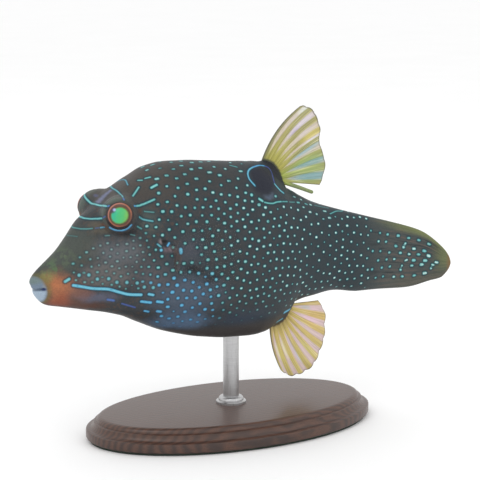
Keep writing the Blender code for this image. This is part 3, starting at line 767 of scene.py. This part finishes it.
# the markings: a dark teal halo, a bright edge, and a paler heart
mark_way = read_attribute(hide_finish, "mark_way")
mark_width, mark_strength, mark_hue = read_attribute(hide_finish, "mark_measure").parts()
outside = mark_way.length() - mark_width + (speckle - 0.5) * 0.1
rim = mark_hue.step(0, 0.5).blend((86, 164, 162), (70, 140, 186))
rim = rim.over((66, 80, 158), mark_hue.step(0.5, 1))
heart = mark_hue.step(0, 0.5).blend((130, 196, 196), (100, 182, 214))
heart = heart.over((236, 246, 240), mark_hue.step(0, -0.4))
heart = heart.over((84, 100, 178), mark_hue.step(0.5, 1))
halo = outside.step(0.44, 0.04) * mark_strength
colour = colour.over((14, 50, 62), halo * (0.8 - 0.4 * mark_hue.step(0.1, 0.5)))
rim = rim.over((146, 158, 154), at_half.near((14.5, 6, 5.2), (7.0, 6, 4.4), 0.5) * 0.7)
blotch = at.noise(1.4, 2, 0.5)
colour = colour.layered([
    (rim, outside.step(0.07, -0.09) * mark_strength),
    (heart, outside.step(-0.05, -0.2) * mark_strength * blotch.step(0.2, 0.5)),
    ((0, 0, 0), speckle.step(0.62, 0.3) * 0.12),
])

# the slit of the mouth gets painted shade, darkest at its corner
off_slit = abs(up + SLIT_DROP + 0.2 - off_middle * 0.2)
colour = colour.over((78, 92, 108), off_slit.step(0.36, 0.05) * back_along.step(2.3, 1.9) * 0.7)
colour = colour.over((54, 64, 104), at_half.near((2.0, 1.8, -0.8), (0.62, 0.9, 0.42), 0.2))
feed("Base Color", colour)
feed("Roughness", 0.48 + 0.16 * ground - 0.1 * speckle)
prickles = at.node("TexVoronoi", {}, {"Vector": at, "Scale": 2.4}, 0)
grain = prickles.step(0.32, 0.0) * 0.6 + at.noise(0.8, 4, 0.6) * 0.9 + streaks * tail * 0.9
bumped(at, feed, grain, 0.35, 0.12)
skin.data.materials.append(hide_finish)
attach(skin, "root")
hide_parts("lip_upper", "lip_lower", "snout", "head", "trunk", "tail_stem", "tail_fin")


# ---- The eyes ---------------------------------------------------------------------------
# Each eye is a separate glassy ball in the skin's socket: a broad pupil with a green sheen,
# a thin coral iris between two dark rims, and a clear cornea that stands a little proud.

PUPIL_RADIUS = 1.58
IRIS_INNER, IRIS_OUTER = 1.92, 2.05
CORNEA_RISE = 0.16

eye_finish, feed = new_finish("glassy eye", Coat_Weight=0.25, Coat_Roughness=0.06, Specular_IOR_Level=0.2)
across_eye = read_attribute(eye_finish, "across_eye")  # millimetres back, up and out from the middle
rearward, upward, _ = across_eye.parts()
flat = joined(rearward, upward)
off_axis = flat.vector("SUBTRACT", (0.1, 0.16, 0)).length()
fleck = across_eye.noise(2.6, 3, 0.6)
ragged = (fleck - 0.5) * 0.12
# the pupil is a little wider than it is tall, and leans up to the rear
lean = joined(rearward * 0.96 + upward * 0.26 - 0.1, upward * 1.04 - rearward * 0.28)
pupil = lean.length() + ragged
sheen = (rearward * 0.28 - upward * 0.06 + 0.5) + (fleck - 0.5) * 0.3
colour = sheen.step(0.05, 0.6).blend((46, 172, 142), (72, 178, 112))
colour = colour.layered([
    ((116, 176, 76), sheen.step(0.55, 1.05)),
    ((92, 108, 50), pupil.step(PUPIL_RADIUS - 0.3, PUPIL_RADIUS)),
    ((84, 58, 46), pupil.step(PUPIL_RADIUS - 0.08, PUPIL_RADIUS + 0.12)),
])
# a painted highlight on the pupil: a lavender-white glint up and forward of its middle, in a dark violet halo
colour = colour.patched(across_eye, [
    ((72, 50, 78), (-1, 0.95, 2.3), (0.75, 0.7, 1.2), 0.3, 0.85),
    ((172, 184, 230), (-0.72, 1.1, 2.4), (0.42, 0.4, 1), 0.2, 0.9),
])
rough_axis = off_axis + ragged
iris = rough_axis.step(IRIS_INNER - 0.14, IRIS_INNER + 0.08)
iris *= rough_axis.step(IRIS_OUTER + 0.16, IRIS_OUTER - 0.04)
faded = (rearward - upward * 1.1).step(1.3, 2.9)
ring = (upward - rearward).step(0.5, 2.9).blend((158, 94, 68), (170, 106, 88))
colour = colour.over(ring, iris * (1 - 0.7 * faded))
colour = colour.over((44, 38, 40), off_axis.step(IRIS_OUTER, IRIS_OUTER + 0.18))
feed("Base Color", colour)
feed("Roughness", 0.22 + 0.2 * fleck + off_axis.step(IRIS_INNER, IRIS_OUTER + 0.2) * 0.5)
bumped(across_eye, feed, fleck + iris * 0.8, 0.2, 0.08)

for side, name in [(-1, "eye_left"), (1, "eye_right")]:
    eye, ball = new_ball("glass_" + name, *(((128, 96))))
    out_way = gaze * [1, side, 1]
    rear_way = np.array([1, 0, 0]) - out_way * out_way[0]
    rear_way /= np.linalg.norm(rear_way)
    up_way = np.cross(rear_way, out_way) * side
    dome = 1 + CORNEA_RISE / EYE_RADIUS * ramp(ball[:, 2], math.cos(opening_angle), 1)
    ball = ball * (EYE_RADIUS * dome)[:, None]
    points = eye_centre * [1, side, 1] + ball @ [rear_way, up_way, out_way]
    shape(eye, points)
    face_outwards()
    attribute = eye.data.attributes.new("across_eye", "FLOAT_VECTOR", "POINT")
    attribute.data.foreach_set("vector", ball.astype(np.float32).ravel())
    eye.data.materials.append(eye_finish)
    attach(eye, "root")
    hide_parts(name)


# ---- The dorsal and the anal fin ----------------------------------------------------------
# Two small fans at the rear of the body. Soft rays, olive and ochre, splay from a fleshy
# root and fork near the margin, and a thin pale web joins them and is cut in between them.

ROWS_OUT = 56
COLUMNS_PER_RAY = 18


def along(points, share):
    """Places a share of the way along a smooth line through (x, z) points."""
    last = len(points) - 1
    return [smooth([(k / last, p[axis]) for k, p in enumerate(points)], share) for axis in (0, 1)]


def fin_sheet(name, root, margin, rays, bow, notch, sideways=lambda x: 0 * x, web=0.12, ray=0.5, sink=0.8):
    """A fin in a grid: rays fan out from its root to its margin, and its thickness swells at each ray."""
    columns = (rays - 1) * COLUMNS_PER_RAY
    bpy.ops.object.select_all(action="DESELECT")
    bpy.ops.mesh.primitive_grid_add(x_subdivisions=columns, y_subdivisions=ROWS_OUT, size=2)
    fin = bpy.context.object
    fin.name = name
    grid = np.array([v.co for v in fin.data.vertices])
    across, out = (grid[:, 0] + 1) / 2, (grid[:, 1] + 1) / 2
    phase = across * (rays - 1)
    from_ray = np.abs(phase - np.round(phase)) * 2  # 0 on a ray, 1 midway between two
    (root_x, root_z), (tip_x, tip_z) = along(root, across), along(margin, across)
    length = 1 - notch * from_ray**2 - 0.035 * (bell(across, 0.02) + bell(1 - across, 0.02))
    way_x, way_z = (tip_x - root_x) * length, (tip_z - root_z) * length
    reach = np.hypot(way_x, way_z)
    lean_x, lean_z = -way_z / reach, way_x / reach
    bend = bow * 4 * out * (1 - out) * (1 - across)
    at_out = out * (1 + sink / reach) - sink / reach  # the root runs on under the skin
    x = root_x + way_x * at_out + lean_x * bend
    z = root_z + way_z * at_out + lean_z * bend
    ripple = 0.1 * np.sin(math.pi * phase) * ramp(out, 0.3, 1)
    y = sideways(x) + ripple
    shape(fin, np.stack([x, y, z], axis=-1))
    ridge = np.cos(np.clip(from_ray * 1.2, 0, 1) * math.pi / 2) ** 1.5
    fork = np.abs(from_ray - 0.3 * ramp(out, 0.55, 1))
    tip_ridge = np.cos(np.clip(fork * 2.2, 0, 1) * math.pi / 2) ** 2
    ridge = ridge * (1 - ramp(out, 0.5, 0.8)) + 0.7 * tip_ridge * ramp(out, 0.5, 0.8)
    thickness = web + (ray * (1 - 0.72 * out) - web) * ridge * ramp(out, 1.0, 0.97)
    group = fin.vertex_groups.new(name="thickness")
    for k, share in enumerate(thickness / ray):
        group.add([k], float(np.clip(share, 0, 1)), "REPLACE")
    wall = fin.modifiers.new("thickness", "SOLIDIFY")
    wall.thickness = ray * MM
    wall.offset = 0
    wall.vertex_group = "thickness"
    bpy.ops.object.modifier_apply(modifier=wall.name)
    face_outwards()
    return fin


def fin_finish(
    name, rays, ray_paint, web_paint, ray_patches, web_patches, streaky=1, coat=0.1, specular=0.25
):
    """The look of a fin: broad streaky rays with webs between them, each with soft patches of colour.

    A patch is a colour, its middle and its reach across the fin and out along the rays, and its share.
    """
    finish, feed = new_finish(name, Coat_Weight=coat, Coat_Roughness=0.3, Specular_IOR_Level=specular)
    uv = Wire(finish.node_tree.nodes.new("ShaderNodeUVMap").outputs["UV"])
    across, out, _ = uv.parts()
    phase = across * (rays - 1) + 0.5
    from_ray = abs(phase.math("FRACT", phase) - 0.5) * 2
    grain = joined(phase * 5, out * 1.6).noise(1.0, 3, 0.6)
    hairs = joined(phase * 7, out * 1.2).noise(1.0, 2, 0.5)
    fine = joined(phase * 19, out * 1.6).noise(1.0, 2, 0.5)
    joints = joined(phase * 3, out * 30).noise(1.0, 2, 0.5)
    half = 0.6 - 0.06 * out + 0.5 * out.step(0.42, 0.02)
    ray_share = (from_ray - half + (grain - 0.5) * 0.35).step(0.2, -0.16)
    layers = []
    for layer, patches in [(web_paint, web_patches), (ray_paint, ray_patches)]:
        for rgb, place, size, share in patches:
            layer = (uv.near((*place, 0), (*size, 1), 0.25) * share).blend(layer, rgb)
        layers.append(layer)
    web, ray = layers
    ray = ray.over((92, 84, 40), hairs.step(0.5, 0.72) * 0.5 + joints.step(0.55, 0.75) * 0.1)
    ray = ray.over((236, 226, 160), hairs.step(0.46, 0.28) * (0.25 + 0.3 * out))
    colour = web.over(ray, ray_share * (0.95 - 0.12 * out) + (1 - ray_share) * hairs.step(0.56, 0.8) * 0.3)
    colour = colour.over((240, 236, 216), fine.step(0.46, 0.3) * out.step(0.05, 0.5) * (0.4 * streaky))
    colour = colour.over((104, 102, 62), fine.step(0.54, 0.7) * (0.3 * streaky))
    feed("Roughness", 0.45 + 0.2 * grain)
    bumped(uv, feed, grain + ray_share, 0.3, 0.05)
    edge = out.math("MAXIMUM", out.step(0.975, 0.995), (0.5 - abs(across - 0.5)).step(0.008, 0.001))
    return finish, feed, colour, out, ray_share, edge


DORSAL_RAYS, ANAL_RAYS = 8, 9
# The foot and the tip of each ray, from front to rear
dorsal_root = [(46.9, 19.2), (48.15, 18.85), (49.05, 18.4), (49.75, 17.7), (50.3, 17.05), (50.65, 16.4),
    (50.9, 15.7), (51.15, 14.75)]
dorsal_margin = [(55.1, 29.3), (57.2, 28.4), (58.5, 26.6), (59.25, 24.4), (59, 22.8), (59.75, 20),
    (60.4, 17.3), (59.45, 13.65)]
dorsal = fin_sheet("dorsal_web", dorsal_root, dorsal_margin, DORSAL_RAYS, 1.15, 0.012)
RAY_PATCHES = [
    ((176, 170, 84), (0.4, 0.2), (0.5, 0.35), 0.7),
    ((118, 118, 74), (0, 0.5), (0.09, 0.9), 0.9),
    ((204, 190, 96), (0.42, 0.9), (0.14, 0.4), 0.8),
    ((226, 212, 124), (0.5, 0.85), (0.06, 0.3), 0.7),
    ((148, 168, 88), (0.82, 0.55), (0.24, 0.8), 0.95),
    ((160, 176, 70), (0.85, 0.08), (0.3, 0.2), 0.6),
]
WEB_PATCHES = [
    ((222, 212, 222), (0.22, 0.75), (0.2, 0.4), 0.9),
    ((196, 180, 206), (0.24, 0.6), (0.05, 0.16), 0.8),
    ((206, 190, 178), (0.12, 0.45), (0.06, 0.3), 0.8),
    ((226, 232, 222), (0.1, 0.95), (0.09, 0.16), 0.8),
    ((232, 232, 242), (0.53, 0.85), (0.05, 0.3), 0.9),
    ((150, 182, 190), (0.6, 0.65), (0.08, 0.6), 0.95),
    ((126, 168, 164), (0.76, 0.7), (0.1, 0.7), 1),
    ((126, 168, 170), (0.93, 0.7), (0.1, 0.7), 1),
    ((186, 184, 96), (0.4, 0.1), (0.6, 0.22), 0.8),
]
finish, feed, colour, out, ray_share, edge = fin_finish(
    "dorsal fin", DORSAL_RAYS, (150, 146, 68), (212, 198, 176), RAY_PATCHES, WEB_PATCHES)
colour = colour.over((60, 66, 60), out.step(0.09, 0.055) * 0.9)
colour = colour.over((86, 84, 66), edge * 0.8)
feed("Base Color", colour)
feed("Alpha", 1 - (1 - ray_share) * out.step(0.1, 0.4) * (1 - edge) * 0.25)
dorsal.data.materials.append(finish)
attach(dorsal, "root")
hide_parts("dorsal_fin")

anal_root = [(48.6, -13), (49.55, -12.8), (50.4, -12.5), (51.2, -12), (51.65, -11.45), (51.95, -10.85),
    (52.15, -10.2), (52.35, -9.6), (52.5, -8.95)]
anal_margin = [(51, -22.2), (53.25, -23.3), (55.35, -23.1), (57.45, -22.25), (59.05, -20.3), (60.05, -18.05),
    (60.7, -15.35), (60.8, -12.3), (59.3, -8.9)]
anal = fin_sheet("anal_web", anal_root, anal_margin, ANAL_RAYS, -0.65, 0.03)
RAY_PATCHES = [
    ((168, 148, 92), (0.5, 0), (1.4, 0.26), 0.9),
    ((204, 188, 84), (0.3, 0.8), (0.6, 0.5), 0.8),
    ((210, 178, 84), (0.85, 0.75), (0.3, 0.45), 0.6),
    ((142, 128, 84), (0, 0.3), (0.05, 0.9), 0.6),
]
WEB_PATCHES = [
    ((250, 242, 202), (0.1, 0.55), (0.07, 0.3), 1),
    ((246, 234, 196), (0.2, 0.5), (0.05, 0.28), 0.95),
    ((226, 206, 198), (0.06, 0.9), (0.08, 0.3), 0.8),
    ((204, 226, 236), (0.34, 0.72), (0.035, 0.16), 0.8),
    ((222, 206, 220), (0.35, 0.5), (0.07, 0.5), 0.8),
    ((238, 244, 230), (0.49, 0.72), (0.035, 0.3), 0.8),
    ((240, 206, 220), (0.85, 0.65), (0.16, 0.35), 0.8),
    ((206, 208, 202), (0.94, 0.55), (0.04, 0.2), 0.8),
    ((196, 170, 130), (0.4, 0.05), (1.2, 0.3), 0.8),
]
finish, feed, colour, out, ray_share, edge = fin_finish(
    "anal fin", ANAL_RAYS, (208, 186, 102), (226, 200, 200), RAY_PATCHES, WEB_PATCHES)
colour = colour.over((60, 56, 52), out.step(0.1, 0.06) * 0.85)
colour = colour.over((110, 98, 80), edge * 0.7)
feed("Base Color", colour)
feed("Alpha", 1 - (1 - ray_share) * out.step(0.1, 0.4) * (1 - edge) * 0.2)
anal.data.materials.append(finish)
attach(anal, "root")
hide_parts("anal_fin")

# The dorsal fin's hindmost ray stands free of the web: a soft blunt finger, a little flattened
FINGER_TIP = np.array([57.75, 12.3])
finger_root = np.array([51.2, 14.7])
finger, ball = new_ball("dorsal_finger", 32, 96)
share = (1 - ball[:, 2]) / 2
thick = 0.4 - 0.06 * share
girth = np.sqrt(np.clip(1 - np.clip((np.abs(ball[:, 2]) - 0.9) / 0.1, 0, 1) ** 2, 0, 1))
ring_way = ball[:, :2] / np.maximum(np.linalg.norm(ball[:, :2], axis=1), 1e-9)[:, None]
run = finger_root + (FINGER_TIP - finger_root) * share[:, None]
run_way = (FINGER_TIP - finger_root) / np.linalg.norm(FINGER_TIP - finger_root)
lift_way = np.array([-run_way[1], run_way[0]])
sag = 0.05 * np.sin(math.pi * share)
run = run + lift_way * (sag + ring_way[:, 1] * girth * thick)[:, None]
shape(finger, np.stack([run[:, 0], ring_way[:, 0] * girth * thick * 0.75, run[:, 1]], axis=-1))
face_outwards()
finish, feed = new_finish("free ray", Coat_Weight=0.1, Coat_Roughness=0.3)
at = in_fish_mm(finish)
grain = at.noise(2.5, 3, 0.6)
colour = grain.step(0.3, 0.7).blend((118, 132, 86), (138, 150, 98))
colour = colour.over((158, 170, 76), at.near((51.6, 0, 14.6), (1.8, 2, 1.4)) * 0.8)
feed("Base Color", colour)
feed("Roughness", 0.5 + 0.15 * grain)
bumped(at, feed, grain, 0.3, 0.05)
finger.data.materials.append(finish)
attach(finger, "root")
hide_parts("dorsal_last_ray")


# ---- The side fins ------------------------------------------------------------------------
# Each side fin is a rounded, almost clear fan that stands off the flank behind the gill
# opening. Only its fine pale rays and the flesh at its root can be made out.

SIDE_RAYS = 15
SPREAD = math.radians(24)
side_root = [(24.2, 6.6), (24.9, 4), (24.6, 1.4)]
side_margin = [(31.2, 11.4), (33.9, 8.8), (35.2, 5.2), (34.6, 1.2), (32.4, -2.2), (29.4, -3.6)]
flank_at_root = float(smooth(by_turn(FLANK), turn(24.7)))
for side, name in [(-1, "left"), (1, "right")]:

    def beside_flank(x):
        return side * (flank_at_root + 0.85 + (x - 24.2) * math.tan(SPREAD))

    fan = fin_sheet("side_fan_" + name, side_root, side_margin, SIDE_RAYS, 0.4, 0.018,
                    beside_flank, web=0.08, ray=0.34, sink=0.9)
    if side == -1:
        root_patch = ((96, 80, 76), (0.5, 0.0), (2.0, 0.2), 0.9)
        finish, feed, colour, out, ray_share, edge = fin_finish(
            "side fin", SIDE_RAYS, (74, 75, 76), (60, 64, 68), [root_patch], [root_patch],
            streaky=0, coat=0, specular=0)
        feed("Base Color", colour)
        feed("Alpha", 0.012 + 0.03 * ray_share * out.step(1.0, 0.3) + 0.16 * out.step(0.14, 0.04))
    fan.data.materials.append(finish)
    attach(fan, "root")
    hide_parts("pectoral_fin_" + name)


# ---- The stand ----------------------------------------------------------------------------
# An oval board of dark stained wood with a moulded edge stands on a pad of felt. A brushed
# steel rod is let into it through a small turned collar and runs up into the belly.

low_corner, high_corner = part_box("stand_base")
centre_x = (low_corner.x + high_corner.x) / 2
half_x, half_y, top_z = (high_corner.x - low_corner.x) / 2, high_corner.y, high_corner.z


def moulded(name, vertices, outline_x, outline_y, centre, profile):
    """A shape that rises from a flat foot, through (height, inset) steps, to a flat top."""
    bpy.ops.object.select_all(action="DESELECT")
    bpy.ops.mesh.primitive_circle_add(vertices=vertices, radius=1, fill_type="NGON")
    piece = bpy.context.object
    piece.name = name
    height, inset = profile[0]
    outline = Matrix.Diagonal((outline_x - inset, outline_y - inset, 1, 1))
    piece.data.transform(Matrix.Translation((*centre, height)) @ outline)
    bpy.ops.object.mode_set(mode="EDIT")
    bpy.ops.mesh.select_all(action="SELECT")
    for next_height, next_inset in profile[1:]:
        bpy.ops.mesh.extrude_region_move(TRANSFORM_OT_translate={"value": (0, 0, next_height - height)})
        narrower = [(reach - next_inset) / (reach - inset) for reach in (outline_x, outline_y)]
        bpy.ops.transform.resize(value=(*narrower, 1), center_override=(*centre, next_height))
        height, inset = next_height, next_inset
    face_outwards()
    bpy.ops.object.shade_smooth_by_angle(angle=math.radians(28))
    return piece


def curve_steps(start, end, bulge, count=8):
    """Steps of a quarter-round (bulge 1) or a cove (bulge -1) from one (height, inset) to another."""
    (h0, i0), (h1, i1) = start, end
    quarter = [math.pi / 2 * k / count for k in range(count + 1)]
    if bulge > 0:
        return [(h0 + (h1 - h0) * math.sin(a), i0 + (i1 - i0) * (1 - math.cos(a))) for a in quarter]
    return [(h0 + (h1 - h0) * (1 - math.cos(a)), i0 + (i1 - i0) * math.sin(a)) for a in quarter]


FELT = 0.4 * MM
edge_steps = [(FELT, 0.5 * MM), (FELT + 0.25 * MM, 0.12 * MM), (FELT + 0.5 * MM, 0)]
edge_steps += [(2.0 * MM, 0), (2.2 * MM, 0.06 * MM), (2.3 * MM, 0.25 * MM)]
edge_steps += curve_steps((2.35 * MM, 0.5 * MM), (3.5 * MM, 1.5 * MM), -1)
edge_steps += [(3.6 * MM, 1.75 * MM)] + curve_steps((3.65 * MM, 2.0 * MM), (top_z, 3.2 * MM), 1)
board = moulded("stand_board", 200, half_x, half_y, (centre_x, 0), edge_steps)
finish, feed = new_finish("stained wood", Coat_Weight=0.25, Coat_Roughness=0.18)
at = in_fish_mm(finish)
wander = at.noise(0.06, 3, 0.6)
lengthways, sideways, upwards = at.parts()
grain_place = joined(lengthways * 0.05, sideways * 0.9 + wander * 5, upwards * 0.9)
growth = grain_place.node("TexWave", {"wave_type": "BANDS", "bands_direction": "Y"},
                          {"Vector": grain_place, "Scale": 0.35, "Distortion": 2.0, "Detail": 3.0}, 1)
pores = joined(lengthways * 0.5, sideways * 9, upwards * 9).noise(1.0, 3, 0.7)
colour = growth.blend((52, 33, 26), (84, 54, 40))
colour = colour.over((30, 20, 17), pores.step(0.52, 0.36) * 0.55)
colour = colour.over((104, 70, 52), upwards.step(-29.2, -28.4) * 0.12)
feed("Base Color", colour)
feed("Roughness", 0.34 + 0.2 * pores)
bumped(at, feed, pores + growth * 0.3, 0.25, 0.06)
board.data.materials.append(finish)
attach(board, "root")
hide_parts("stand_base")

felt = moulded("stand_felt", 120, half_x - 0.6 * MM, half_y - 0.6 * MM, (centre_x, 0),
               [(0, 0.1 * MM), (0.1 * MM, 0), (FELT, 0)])
finish, feed = new_finish("felt")
at = in_fish_mm(finish)
fibres = at.noise(6.0, 4, 0.7)
feed("Base Color", fibres.blend((26, 34, 30), (54, 66, 58)))
feed("Roughness", 0.85 + 0.15 * fibres)
bumped(at, feed, fibres, 0.6, 0.1)
felt.data.materials.append(finish)
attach(felt, "root")

rod_low, rod_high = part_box("stand_rod")
rod_centre = ((rod_low.x + rod_high.x) / 2, 0)
rod_radius = (rod_high.x - rod_low.x) / 2
rod_steps = [(rod_low.z, 0.1 * MM), (rod_low.z + 0.1 * MM, 0)]
rod_steps += [(rod_high.z - 0.4 * MM, 0), (rod_high.z, 0.4 * MM)]
rod = moulded("stand_steel_rod", 64, rod_radius, rod_radius, rod_centre, rod_steps)
collar_steps = [(top_z - 0.3 * MM, 0.05 * MM), (top_z + 0.35 * MM, 0.05 * MM)]
collar_steps += [(top_z + 0.45 * MM, 0.15 * MM), (top_z + 0.5 * MM, 0.45 * MM)]
collar_steps += curve_steps((top_z + 0.55 * MM, 0.5 * MM), (top_z + 1.3 * MM, 1.1 * MM), 1)
collar_radius = rod_radius + 1.4 * MM
collar = moulded("stand_collar", 72, collar_radius, collar_radius, rod_centre, collar_steps)
finish, feed = new_finish("brushed steel", Metallic=1.0)
at = in_fish_mm(finish)
from_rod = at.vector("SUBTRACT", (rod_centre[0] / MM - snout_x / MM, 0, 0))
rod_x, rod_y, rod_z = from_rod.parts()
brushing = joined(rod_x * 3, rod_y * 3, rod_z * 0.25).noise(1.0, 4, 0.7)
turning = joined(rod_x * 0.3, rod_y * 0.3, rod_z * 9).noise(1.0, 3, 0.6)
colour = turning.blend((168, 168, 170), (206, 206, 206))
feed("Base Color", colour.over((120, 118, 118), brushing.step(0.5, 0.3) * 0.3))
feed("Roughness", 0.24 + 0.22 * turning)
bumped(at, feed, turning + brushing * 0.4, 0.2, 0.03)
for piece in (rod, collar):
    piece.data.materials.append(finish)
    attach(piece, "root")
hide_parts("stand_rod")


# ---- Floor, lights and camera -----------------------------------------------------------
# A plain pale floor that runs out of sight, broad soft lights from above and in front,
# and a long lens that looks at the fish's left side from a little ahead and above.

bpy.ops.object.select_all(action="DESELECT")
bpy.ops.mesh.primitive_plane_add(size=6)
floor = bpy.context.object
floor.name = "floor"
finish, feed = new_finish("pale floor")
at = in_fish_mm(finish)
cloudy = at.noise(0.02, 3, 0.5)
feed("Base Color", cloudy.blend((246, 246, 246), (250, 250, 250)))
feed("Roughness", 0.7 + 0.2 * cloudy)
floor.data.materials.append(finish)

world = bpy.data.worlds.new("studio")
bpy.context.scene.world = world
world.use_nodes = True
world.node_tree.nodes["Background"].inputs["Color"].default_value = (1, 1, 1, 1)
world.node_tree.nodes["Background"].inputs["Strength"].default_value = 1.04

target = Vector((snout_x + 41.93 * MM, 0, mouth_height + 4.39 * MM))


def way_to(azimuth, height):
    """The way from the fish to a lamp or the camera, at these degrees round from its left side and up."""
    azimuth, height = math.radians(azimuth), math.radians(height)
    across, nearer = math.sin(azimuth) * math.cos(height), math.cos(azimuth) * math.cos(height)
    return Vector((across, -nearer, math.sin(height)))


def soft_light(name, azimuth, height, size, energy):
    way = way_to(azimuth, height)
    light = bpy.data.lights.new(name, "AREA")
    light.shape = "DISK"
    light.size = size
    light.energy = energy
    lamp = bpy.data.objects.new(name, light)
    lamp.location = target + way * 0.6
    lamp.rotation_euler = (-way).to_track_quat("-Z", "Y").to_euler()
    bpy.context.scene.collection.objects.link(lamp)


soft_light("key", -60, 50, 0.4, 0.5)
soft_light("fill", 25, 25, 0.5, 0.2)
soft_light("top", 150, 70, 0.4, 0.2)

back = way_to(-28, 10)
lens = bpy.data.cameras.new("camera")
lens.lens = 120
lens.sensor_width = 36
lens.clip_start = 0.01
camera = bpy.data.objects.new("camera", lens)
camera.location = target + back * 0.3
camera.rotation_euler = (-back).to_track_quat("-Z", "Y").to_euler()
bpy.context.scene.collection.objects.link(camera)
bpy.context.scene.camera = camera
bpy.context.scene.view_settings.view_transform = "Standard"
